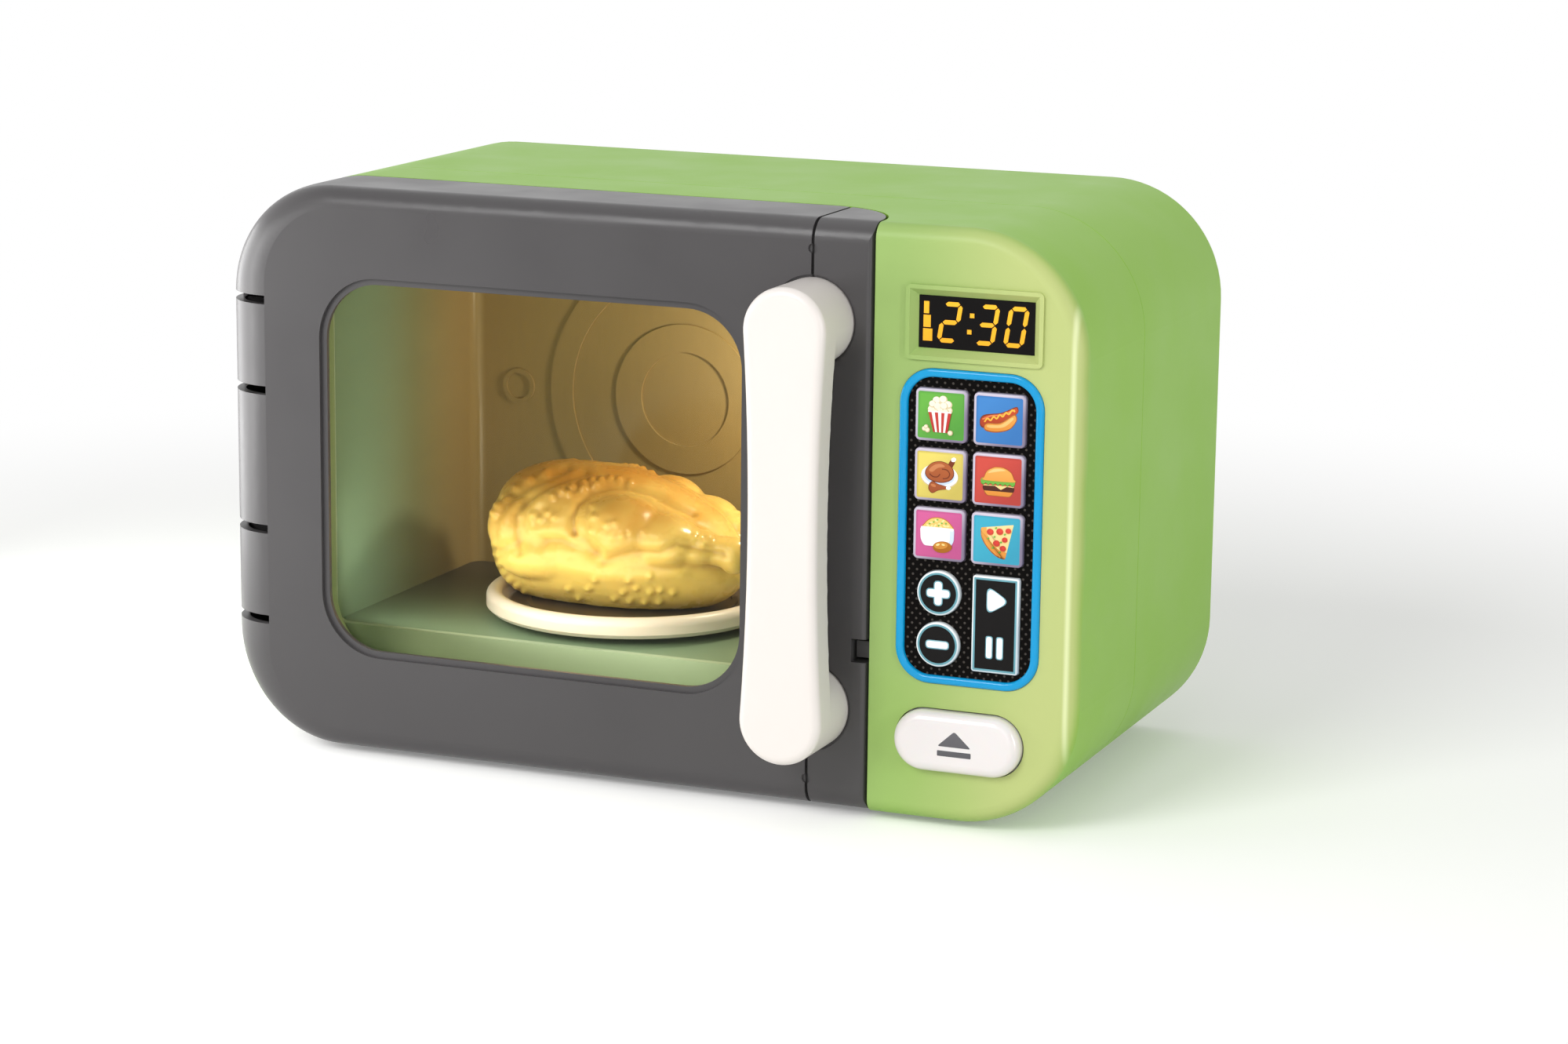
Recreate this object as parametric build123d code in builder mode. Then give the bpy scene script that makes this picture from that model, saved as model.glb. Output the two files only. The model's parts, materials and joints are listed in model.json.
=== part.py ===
from build123d import *
import math
import os

os.makedirs("parts", exist_ok=True)

# Toy microwave oven, in millimetres. The origin is on the ground under the middle of the
# whole toy, +Z is up and the door faces -Y. Most places below are given as x, as depth
# behind the flat front of the control panel and as height over the underside of the body.

# Whole body
body_width = 270.0
body_height = 168.4
body_depth = 134.5
corner_radius = 35.0
shell_wall = 2.6
parting_depth = 54.8
foot_height = 2.0
handle_reach = 22.0
overrun = 5.0
seat_gap = 0.1
slide_gap = 0.3
groove_chamfer = 0.2

front_y = (handle_reach - body_depth) / 2
body_left = -body_width / 2
body_right = body_width / 2

# Door
door_thickness = 30.0
door_gap = 0.8
door_edge_x = 73.1
door_corner_round = 25.0
door_side_round = 16.4
door_edge_round = 6.0
door_nose_round = 1.8
hinge_round = 8.0
rounding_steps = 5
seam_width = 0.9
seam_x = 55.25
lap_length = 3.0
lap_outer_wall = 1.4
seam_dot_radius = 1.4
seam_dot_depth = 0.7
seam_dot_inset = 8.2

# Door window
window_left = -98.5
window_right = 33.75
window_bottom = 30.75
window_top_margin = 27.8
window_top = body_height - window_top_margin
window_round = 17.0
lip_width = 1.9
lip_depth = 1.2
pane_margin = 1.0
pane_thickness = 1.4

# Door inner panel
inner_panel_thickness = 2.0
tunnel_wall = 1.6
tunnel_left = -112.0
tunnel_right = 42.0
tunnel_bottom = 19.0
tunnel_top_margin = 14.4
tunnel_top = body_height - tunnel_top_margin
tunnel_round = 22.0

# Door hinges
slot_height = 2.6
slot_low_heights = (37.1, 64.7)
slot_top_margins = (61.7, 34.6)
slot_heights = slot_low_heights + tuple(body_height - margin for margin in slot_top_margins)
lug_height = 17.0
lug_half_width = 3.5
lug_swing_gap = 0.6
knuckle_thickness = 3.0
knuckle_reach = 9.0
pin_radius = 1.5
pin_running_gap = 0.05

# Door handle
boss_radius = 12.3
boss_low_height = 29.4
boss_top_margin = 28.6
boss_heights = (boss_low_height, body_height - boss_top_margin)
waist_half_width = 10.4
grip_thickness = 11.0
boss_recess = 1.0
boss_recess_gap = 0.8
grip_front_fillet = 2.4
grip_rear_fillet = 1.6

# Screws
screw_radius = 1.1
screw_head_radius = 2.3
screw_head_height = 1.4
screw_boss_radius = 3.2
screw_clear_radius = 1.3
head_gap = 0.2
slot_share = 0.25

# Door latch
notch_depth_x = 4.7
notch_bottom = 43.6
notch_top = 50.4
notch_reach = 20.0
notch_wall = 2.0
tongue_tip_x = 69.0
tongue_near = 2.9
tongue_far = 5.4
tongue_gap = 1.0
carrier_thickness = 3.0
carrier_near = 12.0

# Oven cavity
cavity_left = -113.5
cavity_right = 38.0
cavity_floor = 30.5
cavity_top_margin = 16.4
cavity_ceiling = body_height - cavity_top_margin
cavity_back = 127.0
cavity_round = 4.0
liner_wall = 1.6
liner_flange = 5.5
ring_x = -38.5
cavity_height = cavity_ceiling - cavity_floor
ring_height_share = 0.4897
ring_height = cavity_floor + ring_height_share * cavity_height
ring_band_shares = ((0.1251, 0.1984), (0.3243, 0.3877))
ring_bands = [tuple(share * cavity_height for share in band) for band in ring_band_shares]
ring_rise = 0.8
button_mark_x = -97.3
button_mark_radii = (4.2, 5.6)

# Lamp
lamp_depth = 84.0
lamp_top_margin = 24.0
lamp_height_up = cavity_ceiling - lamp_top_margin
lamp_lens_radius = 9.0
lamp_lens_rim = 1.5
lamp_radius = 2.5
lamp_length = 8.0
lamp_base_radius = 5.0

# Turntable and its drive
table_x = -35.0
table_depth = 78.5
table_radius = 45.0
table_underside = 33.0
table_thickness = 2.0
rim_inner_radius = 38.6
rim_height = 6.4
rim_crown = 2.6
step_ring_radius = 31.0
step_ring_width = 1.6
step_ring_rise = 0.6
hub_radius = 9.0
hub_floor_gap = 0.4
key_radius = 4.0
key_top = 34.2
hub_hole_radius = 6.5
gear_module = 0.8
gear_teeth = 40
pinion_teeth = 10
gear_backlash = 0.3
gear_bottom = 20.0
gear_thickness = 4.0
addendum_share = 0.8
dedendum_share = 1.15
pressure_angle = 20.0
gear_hub_radius = 5.0
gear_collar = 1.2
shaft_radius = 3.0
shaft_foot = 12.0
running_gap = 0.05
motor_radius = 10.0
motor_bottom = 4.0
motor_boss_radius = 3.0
motor_shaft_radius = 1.0
bracket_bottom = 16.5
bracket_thickness = 2.0
bracket_left = -58.0
bracket_right = 2.0
bracket_near = 60.0
bracket_far = 97.0
bracket_leg_radius = 2.6
bracket_leg_inset = 4.0

# Roast chicken
chicken_lift_gap = 0.3
chicken_depth = 78.5
# Sections along the bird: x, half width and half height, and height of the middle.
chicken_body = (
    (-80.0, 5.0, 8.0, 55.0),
    (-76.0, 14.5, 15.0, 54.5),
    (-66.0, 22.0, 20.0, 54.0),
    (-50.0, 26.0, 23.0, 54.5),
    (-33.0, 26.5, 22.5, 53.5),
    (-17.0, 22.0, 19.0, 51.0),
    (-5.0, 12.0, 13.0, 49.0),
    (0.0, 4.0, 6.0, 48.0),
)
thigh_length = 22.0
thigh_width = 9.5
thigh_x = -26.0
thigh_height = 54.0
thigh_spread = 19.0
shank_radius_near = 9.5
shank_radius_far = 5.2
shank_end_x = 4.0
shank_height = 52.0
shank_spread = 11.0
knob_radius = 6.0
wing_length = 16.0
wing_width = 5.5
wing_x = -58.0
wing_height = 55.0
wing_spread = 21.5

# Control panel
bay_edge_x = door_edge_x + door_gap
panel_round = 4.4
back_round = 3.2
display_left = 86.35
display_right = 120.15
display_height = 14.7
display_top_margin = 19.1
display_top = body_height - display_top_margin
display_bottom = display_top - display_height
bezel_width = 3.1
bezel_rise = 0.8
bezel_bevel = 2.0
bezel_round = 1.6
lens_sink = 1.6
lens_flange = 1.6
lens_thickness = 1.4
digit_thickness = 0.15
digit_height = 11.4
digit_width = 5.9
digit_bar = 1.25
digit_gap = 0.22
digit_slant = 9.0
digit_lefts = (91.6, 102.4, 110.9)
digit_margin = 1.8
digit_bottom = display_bottom + digit_margin
digit_segments = ("abdeg", "abcdg", "abcdef")
colon_x = 100.6
one_x = 89.0
one_widths = (1.5, 2.1, 2.7)
one_block_height = 3.6
keypad_left = 81.85
keypad_right = 124.0
keypad_bottom = 40.1
keypad_top_margin = 39.1
keypad_top = body_height - keypad_top_margin
keypad_height = keypad_top - keypad_bottom
keypad_round = 10.0
keypad_ring = 2.4
keypad_ledge = 3.0
keypad_pocket = 1.4
keypad_plate_sink = 0.4
keypad_ring_rise = 0.9
ring_edge_fillet = 0.9

# Keys
key_width = 15.1
key_height_share = 0.1648
key_height = key_height_share * keypad_height
key_corner = 1.4
key_columns = (94.3, 111.3)
key_row_shares = (0.8554, 0.6671, 0.4799)
key_rows = [keypad_bottom + share * keypad_height for share in key_row_shares]
key_names = ("key_popcorn", "key_hotdog", "key_chicken", "key_burger", "key_rice", "key_pizza")
key_rise = 1.0
key_gap = 0.2
key_flange = 0.6
key_flange_corner = 2.4
key_flange_near = 1.55
key_flange_thickness = 0.8
key_stem_radius = 3.0
key_stem_end = 3.2
key_edge_fillet = 0.5
round_key_radius_share = 0.0712
round_key_radius = round_key_radius_share * keypad_height
plus_height_share = 0.2926
minus_height_share = 0.1278
round_key_x = 94.5
round_keys = (
    ("key_plus", round_key_x, keypad_bottom + plus_height_share * keypad_height),
    ("key_minus", round_key_x, keypad_bottom + minus_height_share * keypad_height),
)
long_key_left = 104.5
long_key_right = 118.15
long_key_bottom_share = 0.0549
long_key_top_share = 0.3621
long_key_bottom = keypad_bottom + long_key_bottom_share * keypad_height
long_key_top = keypad_bottom + long_key_top_share * keypad_height
long_key_corner = 0.8
dome_radius = 3.6
dome_height = 0.9
mat_thickness = 0.8
mat_left = 85.2
mat_right = 120.4
mat_margin = 3.6
mat_bottom = keypad_bottom + mat_margin
mat_top = keypad_top - mat_margin
carrier_notch_x = 86.7
carrier_notch_top = 53.0

# Circuit board
board_near = 6.0
board_thickness = 1.6
board_left = 77.6
board_right = 128.0
board_bottom = 40.5
board_screw_drop = 2.0
board_screw_step = 1.0
board_top_margin = 14.4
board_top = body_height - board_top_margin
board_height = board_top - board_bottom
board_screw_low = 60.0
board_screw_high = board_top - 2 * board_screw_drop
board_screw_left = 80.5
board_screw_right = 125.5
board_screw_places = (
    (board_screw_left, board_screw_low),
    (board_screw_left, board_screw_high),
    (board_screw_right, board_screw_low),
    (board_screw_right - board_screw_step, board_screw_high),
)
board_boss_radius = 2.6
board_wall_gap = 0.6
# Each chip: place across, width, height and thickness; its place up the board is in chip_rise_shares.
chip_sizes = (
    (98.0, 16.0, 16.0, 2.4),
    (112.0, 9.0, 7.0, 1.8),
    (96.0, 6.0, 10.0, 2.0),
    (112.0, 12.0, 5.0, 2.2),
)
chip_rise_shares = (0.7004, 0.489, 0.4185, 0.8414)
capacitor_xs = (92.0, 104.0, 115.0)
capacitor_rise_shares = (0.8943, 0.2775, 0.3304)
capacitor_radius = 2.5
capacitor_height = 7.0

# Open button, its springs and the latch slider
button_x = 101.15
button_height_up = 23.9
button_width = 37.5
button_height = 17.4
button_rise = 4.0
button_travel = 3.2
button_fillet = 3.0
button_gap = 0.4
button_flange = 1.5
button_flange_near = 2.9
button_flange_far = 4.1
stem_left = 98.0
stem_right = 104.0
stem_bottom = 17.5
stem_top = 24.5
wedge_near = 8.5
latch_ratio = 1.5
wedge_gap = 0.2
slider_plate_near = 15.4
slider_plate_far = 17.4
slider_bottom = 16.0
slider_top = 25.5
slider_right = 108.0
carrier_x = 77.2
bracket_plate_near = 17.7
bracket_plate_thickness = 2.0
button_bracket_left = 81.0
button_bracket_right = 128.5
button_bracket_bottom = 6.5
button_bracket_top = 42.0
button_bracket_screws = ((84.0, 9.5), (115.0, 10.0), (125.5, 35.0))
bracket_wall_gap = 0.5
rail_height = 1.0
spring_tab_x = 93.0
spring_tab_thickness = 2.0
spring_tab_near = 11.0
spring_tab_bottom = 34.0
latch_spring_height = 38.0
latch_spring_depth = 14.5
spring_radius = 2.0
spring_wire_radius = 0.35
spring_pitch = 1.7
button_spring_height = 29.3
button_spring_places = (90.0, 112.0)

# Battery compartment
battery_x = 90.5
battery_height_up = 47.0
cell_radius = 7.1
cell_length = 50.5
cell_pitch = 15.2
cell_count = 3
cell_gap = 0.4
contact_room = 3.2
box_wall = 1.6
box_depth = 16.0
cover_overlap = 3.0
cover_gap = 0.3
cover_rib = 1.0
cover_rib_count = 5
cover_boss_sink = 0.8
contact_thickness = 0.5
contact_width = 10.0
cell_nub_radius = 2.7
cell_nub_height = 1.2

# Speaker
speaker_x = 92.0
speaker_room = body_height - battery_height_up - cell_length / 2
speaker_rise_share = 0.507
speaker_radius_share = 0.2496
speaker_height_up = battery_height_up + cell_length / 2 + speaker_rise_share * speaker_room
speaker_radius = speaker_radius_share * speaker_room
speaker_depth = 13.0
speaker_rim = 3.0
speaker_frame_wall = 1.2
magnet_radius = 11.0
magnet_height = 6.0
cone_thickness = 0.8
grille_hole_radius = 1.3
grille_pitch_share = 0.2083
grille_pitch = grille_pitch_share * speaker_radius
grille_rows = 4

# Power switch
switch_x = 55.5
switch_height_up = 104.0
switch_recess_width = 16.0
switch_recess_height = 8.0
switch_recess_depth = 1.4
switch_slot_width = 9.0
switch_slot_height = 4.4
switch_knob_width = 4.4
switch_knob_height = 3.8
switch_travel = 4.0
switch_body_width = 20.0
switch_body_height = 9.0
switch_body_depth = 8.0

# Rear vents
vent_x = -46.0
vent_height_up = 92.0
vent_width = 58.0
vent_height = 2.6
vent_pitch = 7.0
vent_count = 8

# Housing screws
side_screw_left_inset = 8.4
side_screw_right_inset = 6.8
side_screw_low = 50.0
side_screw_top_margin = 50.4
middle_screw_x = 56.0
middle_screw_margin = 7.8
housing_screw_places = [
    (x, height)
    for x in (body_left + side_screw_left_inset, body_right - side_screw_right_inset)
    for height in (side_screw_low, body_height - side_screw_top_margin)
]
housing_screw_places += [
    (middle_screw_x, body_height - middle_screw_margin),
    (middle_screw_x, middle_screw_margin),
]
housing_boss_radius = 4.4
side_boss_near = 9.0
housing_screw_radius = 1.5
housing_screw_head_radius = 3.0
housing_screw_head_height = 2.4
housing_head_depth = 70.0
housing_screw_end = 42.0
counterbore_radius = 3.4

# Feet
foot_radius = 7.0
foot_peg_radius = 2.0
foot_peg_height = 4.2
foot_chamfer = 0.5
foot_x = 84.0
foot_depths = (42.0, 114.0)


def facing(depth):
    """Plane along the front, at a depth behind it: local x is +X and local y is height."""
    return Plane(origin=(0, front_y + depth, foot_height), x_dir=(1, 0, 0), z_dir=(0, -1, 0))


def level(height):
    """Level plane at a height over the underside: local x is +X and local y is depth."""
    return Plane(origin=(0, front_y, foot_height + height), x_dir=(1, 0, 0), z_dir=(0, 0, 1))


def side(x):
    """Upright plane across the body at x: local x is depth and local y is height."""
    return Plane(origin=(x, front_y, foot_height), x_dir=(0, 1, 0), z_dir=(1, 0, 0))


def rounded(left, right, bottom, top, radius, mode=Mode.ADD):
    """Rounded rectangle given by its four edges."""
    with Locations(((left + right) / 2, (bottom + top) / 2)):
        RectangleRounded(right - left, top - bottom, radius, mode=mode)


def block(xs, depths, heights, mode=Mode.ADD):
    """Box between two x values, two depths and two heights."""
    with BuildSketch(facing(depths[1])) as section:
        with Locations(((xs[0] + xs[1]) / 2, (heights[0] + heights[1]) / 2)):
            Rectangle(xs[1] - xs[0], heights[1] - heights[0])
    extrude(section.sketch, amount=depths[1] - depths[0], mode=mode)


def rod(place, radius, depths, mode=Mode.ADD):
    """Round bar that runs front to back at a place of x and height."""
    with BuildSketch(facing(depths[1])) as section:
        with Locations(place):
            Circle(radius)
    extrude(section.sketch, amount=depths[1] - depths[0], mode=mode)


def post(place, radius, heights, mode=Mode.ADD):
    """Round bar that stands up at a place of x and depth."""
    with BuildSketch(level(heights[0])) as section:
        with Locations(place):
            Circle(radius)
    extrude(section.sketch, amount=heights[1] - heights[0], mode=mode)


def body_outline(inset, mode=Mode.ADD):
    """Outline of the body seen from the front, drawn in by inset."""
    rounded(
        body_left + inset,
        body_right - inset,
        inset,
        body_height - inset,
        corner_radius - inset,
        mode,
    )


def screw(place, seat, tip, radius, head_radius, head_height):
    """Pan head screw along the depth: its head stands behind the seat, its tip is in front."""
    rod(place, radius, (tip, seat))
    rod(place, head_radius, (seat, seat + head_height))
    slot = head_radius * slot_share
    x, height = place
    for across, along in ((slot, head_radius), (head_radius, slot)):
        block(
            (x - across / 2, x + across / 2),
            (seat + head_height / 2, seat + head_height),
            (height - along / 2, height + along / 2),
            Mode.SUBTRACT,
        )


def save(piece, name):
    """Label a finished piece and write it to its own file."""
    piece.part.label = name
    export_step(piece.part, f"parts/{name}.step")


# Door forms
hinge_x = body_left + hinge_round
hinge_depth = door_thickness - hinge_round
door_arc_x = door_edge_x - door_corner_round
door_arc_depth = door_thickness - door_corner_round
panel_depth = door_thickness - inner_panel_thickness


def door_outline(inset, far):
    """Plan of the door: rounded about the hinge at its left rear and at its right rear."""
    left = body_left + inset
    right = door_edge_x - inset
    corner = door_corner_round - inset
    hinge = hinge_round - inset
    nose = door_nose_round - inset
    with BuildLine() as outline:
        if inset > 0:
            Polyline((left, hinge_depth), (left, -overrun), (right, -overrun), (right, door_arc_depth))
        else:
            # The front edge next to the panel is rounded over.
            Polyline((left, hinge_depth), (left, -overrun), (right - nose, -overrun), (right - nose, 0))
            RadiusArc((right - nose, 0), (right, nose), -nose)
            Line((right, nose), (right, door_arc_depth))
        RadiusArc((right, door_arc_depth), (door_arc_x, door_arc_depth + corner), -corner)
        if far > door_thickness:
            Polyline((door_arc_x, door_arc_depth + corner), (door_arc_x, far))
            Line((door_arc_x, far), (hinge_x, far))
            Line((hinge_x, far), (hinge_x, hinge_depth + hinge))
        else:
            Line((door_arc_x, door_arc_depth + corner), (hinge_x, hinge_depth + hinge))
        RadiusArc((hinge_x, hinge_depth + hinge), (left, hinge_depth), -hinge)
    make_face(outline.edges())


def door_form(inset, far):
    """Door without its window, drawn in by inset on every side but the back."""
    side_round = door_side_round - inset
    edge_round = door_edge_round - inset
    right = door_edge_x + overrun
    turn = math.acos(1 - edge_round / side_round)
    with BuildPart() as form:
        # Two stretches: the short rounding of the long edges ends where the second begins.
        for first, last in ((0, turn), (turn, math.radians(90))):
            for step in range(rounding_steps):
                angle = first + (last - first) * step / (rounding_steps - 1)
                fall = side_round * (1 - math.cos(angle))
                left_in = side_round * (1 - math.sin(angle))
                edge_fall = min(fall, edge_round)
                edge_in = edge_round - math.sqrt(edge_round**2 - (edge_round - edge_fall) ** 2)
                corner = corner_radius - inset - (left_in + edge_in) / 2
                left = body_left + inset + left_in
                bottom = inset + edge_in
                top = body_height - inset - edge_in
                with BuildSketch(facing(inset + fall)):
                    with BuildLine():
                        Line((left, bottom + corner), (left, top - corner))
                        RadiusArc((left, top - corner), (left + corner, top), corner)
                        Polyline(
                            (left + corner, top),
                            (right, top),
                            (right, bottom),
                            (left + corner, bottom),
                        )
                        RadiusArc((left + corner, bottom), (left, bottom + corner), corner)
                    make_face()
            loft()
        with BuildSketch(facing(far)):
            body_outline(inset)
        extrude(amount=far - inset - side_round)
        with BuildSketch(level(-overrun)):
            door_outline(inset, far)
        extrude(amount=body_height + 2 * overrun, mode=Mode.INTERSECT)
    return form


door_outer = door_form(0, door_thickness)
door_lap = door_form(lap_outer_wall, door_thickness + overrun)
door_lap_inner = door_form(lap_outer_wall + seat_gap, door_thickness + overrun)
door_inner = door_form(shell_wall, door_thickness + overrun)

lip_left = window_left - lip_width
lip_right = window_right + lip_width
lip_bottom = window_bottom - lip_width
lip_top = window_top + lip_width
lip_round = window_round + lip_width
pane_near = shell_wall + seat_gap
pane_far = pane_near + pane_thickness
door_screw_pad = screw_head_height + head_gap + inner_panel_thickness
door_screw_inset = 7.8
door_screw_xs = (-92.0, 27.0)
door_screw_places = [
    (x, height) for x in door_screw_xs for height in (door_screw_inset, body_height - door_screw_inset)
]
hinge_heights = [
    (slot_heights[0] + slot_heights[1]) / 2,
    (slot_heights[2] + slot_heights[3]) / 2,
]
lug_gap_half = lug_height / 2 + slide_gap
pin_half = lug_gap_half + knuckle_thickness
boss_places = [(seam_x, height) for height in boss_heights]

# Lap under the skin at the seam, and the room it takes in the main moulding
with BuildPart() as lap_room:
    add(door_lap.part)
    block(
        (seam_x - seam_width / 2 - lap_length, body_right),
        (-overrun, door_thickness + overrun),
        (-overrun, body_height + overrun),
        Mode.INTERSECT,
    )

with BuildPart() as cap_lap:
    add(door_lap_inner.part)
    add(door_inner.part, mode=Mode.SUBTRACT)
    block(
        (seam_x - seam_width / 2 - lap_length + seat_gap, seam_x + seam_width),
        (-overrun, door_thickness),
        (-overrun, body_height + overrun),
        Mode.INTERSECT,
    )
    add(door_outer.part, mode=Mode.INTERSECT)

# Main moulding of the door
with BuildPart() as door_bezel:
    add(door_outer.part)
    add(door_inner.part, mode=Mode.SUBTRACT)
    for height in hinge_heights:
        for low, high in ((-pin_half, -lug_gap_half), (lug_gap_half, pin_half)):
            block(
                (body_left, hinge_x + knuckle_reach),
                (hinge_depth - knuckle_reach, panel_depth - seat_gap),
                (height + low, height + high),
            )
    for place in door_screw_places:
        rod(place, screw_boss_radius, (shell_wall / 2, door_thickness - door_screw_pad))
    add(door_outer.part, mode=Mode.INTERSECT)
    # Step of the window opening: wide at the front and narrow behind it.
    with BuildSketch(facing(lip_depth)):
        rounded(lip_left, lip_right, lip_bottom, lip_top, lip_round)
    extrude(amount=lip_depth + overrun, mode=Mode.SUBTRACT)
    with BuildSketch(facing(shell_wall + overrun)):
        rounded(window_left, window_right, window_bottom, window_top, window_round)
    extrude(amount=shell_wall + 2 * overrun, mode=Mode.SUBTRACT)
    # Everything to the right of the seam belongs to the end cap, with a lap under the skin.
    block(
        (seam_x - seam_width / 2, body_right),
        (-overrun, door_thickness + overrun),
        (-overrun, body_height + overrun),
        Mode.SUBTRACT,
    )
    add(lap_room.part, mode=Mode.SUBTRACT)
    for height in slot_heights:
        block(
            (body_left - overrun, body_left + door_side_round),
            (-overrun, door_side_round),
            (height - slot_height / 2, height + slot_height / 2),
            Mode.SUBTRACT,
        )
    for height in hinge_heights:
        # Room for the housing's lug, from straight back round to the open position.
        block(
            (body_left - overrun, hinge_x + lug_half_width + lug_swing_gap),
            (hinge_depth - lug_half_width - lug_swing_gap, door_thickness + overrun),
            (height - lug_gap_half, height + lug_gap_half),
            Mode.SUBTRACT,
        )
        post((hinge_x, hinge_depth), pin_radius, (height - pin_half, height + pin_half), Mode.SUBTRACT)
    for place in door_screw_places:
        rod(place, screw_radius, (door_thickness / 2, door_thickness), Mode.SUBTRACT)
    for place in boss_places:
        rod(place, boss_radius + boss_recess_gap, (-overrun, boss_recess), Mode.SUBTRACT)
        rod(place, screw_clear_radius, (-overrun, shell_wall + overrun), Mode.SUBTRACT)
    for height in (seam_dot_inset, body_height - seam_dot_inset):
        rod((seam_x, height), seam_dot_radius, (-overrun, seam_dot_depth), Mode.SUBTRACT)
save(door_bezel, "door_bezel")

# Right end of the door, with the latch notch
notch_left = door_edge_x - notch_depth_x
with BuildPart() as door_end_cap:
    add(door_outer.part)
    add(door_inner.part, mode=Mode.SUBTRACT)
    block(
        (notch_left - notch_wall, door_edge_x),
        (0, notch_reach + notch_wall),
        (notch_bottom - notch_wall, notch_top + notch_wall),
    )
    add(door_outer.part, mode=Mode.INTERSECT)
    block(
        (seam_x + seam_width / 2, body_right),
        (-overrun, door_thickness + overrun),
        (-overrun, body_height + overrun),
        Mode.INTERSECT,
    )
    add(cap_lap.part)
    block(
        (notch_left, door_edge_x + overrun),
        (-overrun, notch_reach),
        (notch_bottom, notch_top),
        Mode.SUBTRACT,
    )
    for place in boss_places:
        rod(place, boss_radius + boss_recess_gap, (-overrun, boss_recess), Mode.SUBTRACT)
        rod(place, screw_clear_radius, (-overrun, shell_wall + overrun), Mode.SUBTRACT)
    for height in (seam_dot_inset, body_height - seam_dot_inset):
        rod((seam_x, height), seam_dot_radius, (-overrun, seam_dot_depth), Mode.SUBTRACT)
save(door_end_cap, "door_end_cap")

# Clear pane behind the window opening
with BuildPart() as window_pane:
    with BuildSketch(facing(pane_far)):
        rounded(
            lip_left - pane_margin,
            lip_right + pane_margin,
            lip_bottom - pane_margin,
            lip_top + pane_margin,
            lip_round + pane_margin,
        )
    extrude(amount=pane_thickness)
save(window_pane, "window_pane")


def tunnel_section(depth, grow, at_front):
    """Section of the light tunnel behind the window, grown outward by grow."""
    with BuildSketch(facing(depth)) as section:
        if at_front:
            rounded(lip_left - grow, lip_right + grow, lip_bottom - grow, lip_top + grow, lip_round + grow)
        else:
            rounded(
                tunnel_left - grow,
                tunnel_right + grow,
                tunnel_bottom - grow,
                tunnel_top + grow,
                tunnel_round + grow,
            )
    return section.sketch


# Inner panel of the door with its tapered tunnel
panel_inset = shell_wall + seat_gap
tunnel_near = pane_far + seat_gap
with BuildPart() as tunnel_core:
    loft(
        (
            tunnel_section(tunnel_near - seat_gap, 0, True),
            tunnel_section(door_thickness + seat_gap, 0, False),
        )
    )

with BuildPart() as door_inner_panel:
    with BuildSketch(facing(door_thickness)):
        body_outline(panel_inset)
        with Locations(((hinge_x + door_arc_x) / 2, body_height / 2)):
            Rectangle(door_arc_x - hinge_x - 2 * seat_gap, body_height, mode=Mode.INTERSECT)
    extrude(amount=inner_panel_thickness)
    loft(
        (
            tunnel_section(tunnel_near, tunnel_wall, True),
            tunnel_section(panel_depth, tunnel_wall, False),
        )
    )
    for place in door_screw_places:
        rod(place, screw_boss_radius, (door_thickness - door_screw_pad + seat_gap, door_thickness))
    add(tunnel_core.part, mode=Mode.SUBTRACT)
    for place in door_screw_places:
        rod(place, screw_clear_radius, (0, door_thickness + overrun), Mode.SUBTRACT)
        rod(
            place,
            screw_head_radius + head_gap,
            (door_thickness - screw_head_height - head_gap, door_thickness + overrun),
            Mode.SUBTRACT,
        )
    for height in hinge_heights:
        block(
            (body_left, hinge_x + lug_half_width + lug_swing_gap),
            (0, door_thickness + overrun),
            (height - lug_gap_half, height + lug_gap_half),
            Mode.SUBTRACT,
        )
save(door_inner_panel, "door_inner_panel")

# Screws that hold the inner panel
door_screw_seat = door_thickness - screw_head_height - head_gap
with BuildPart() as door_screws:
    for place in door_screw_places:
        screw(
            place,
            door_screw_seat,
            door_thickness / 2 + screw_radius,
            screw_radius,
            screw_head_radius,
            screw_head_height,
        )
save(door_screws, "door_screws")

# Handle: two round feet and a waisted grip, whose long sides run into the round ends
boss_low, boss_high = boss_heights
grip_middle = (boss_low + boss_high) / 2
grip_rear = -(handle_reach - grip_thickness)
half_span = (boss_high - boss_low) / 2
side_arc = (waist_half_width**2 + half_span**2 - boss_radius**2) / (
    2 * (boss_radius - waist_half_width)
)
joint_across = boss_radius * (waist_half_width + side_arc) / (side_arc + boss_radius)
joint_along = boss_radius * half_span / (side_arc + boss_radius)
with BuildPart() as door_handle:
    with BuildSketch(facing(grip_rear)):
        with BuildLine():
            ThreePointArc(
                (seam_x - joint_across, boss_high - joint_along),
                (seam_x, boss_high + boss_radius),
                (seam_x + joint_across, boss_high - joint_along),
            )
            ThreePointArc(
                (seam_x + joint_across, boss_high - joint_along),
                (seam_x + waist_half_width, grip_middle),
                (seam_x + joint_across, boss_low + joint_along),
            )
            ThreePointArc(
                (seam_x + joint_across, boss_low + joint_along),
                (seam_x, boss_low - boss_radius),
                (seam_x - joint_across, boss_low + joint_along),
            )
            ThreePointArc(
                (seam_x - joint_across, boss_low + joint_along),
                (seam_x - waist_half_width, grip_middle),
                (seam_x - joint_across, boss_high - joint_along),
            )
        make_face()
    extrude(amount=grip_thickness)
    fillet(door_handle.faces().sort_by(Axis.Y)[0].edges(), grip_front_fillet)
    fillet(door_handle.faces().sort_by(Axis.Y)[-1].edges(), grip_rear_fillet)
    for place in boss_places:
        rod(place, boss_radius, (grip_rear - grip_rear_fillet, boss_recess))
        rod(place, screw_radius, (grip_rear, boss_recess + overrun), Mode.SUBTRACT)
save(door_handle, "door_handle")

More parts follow.
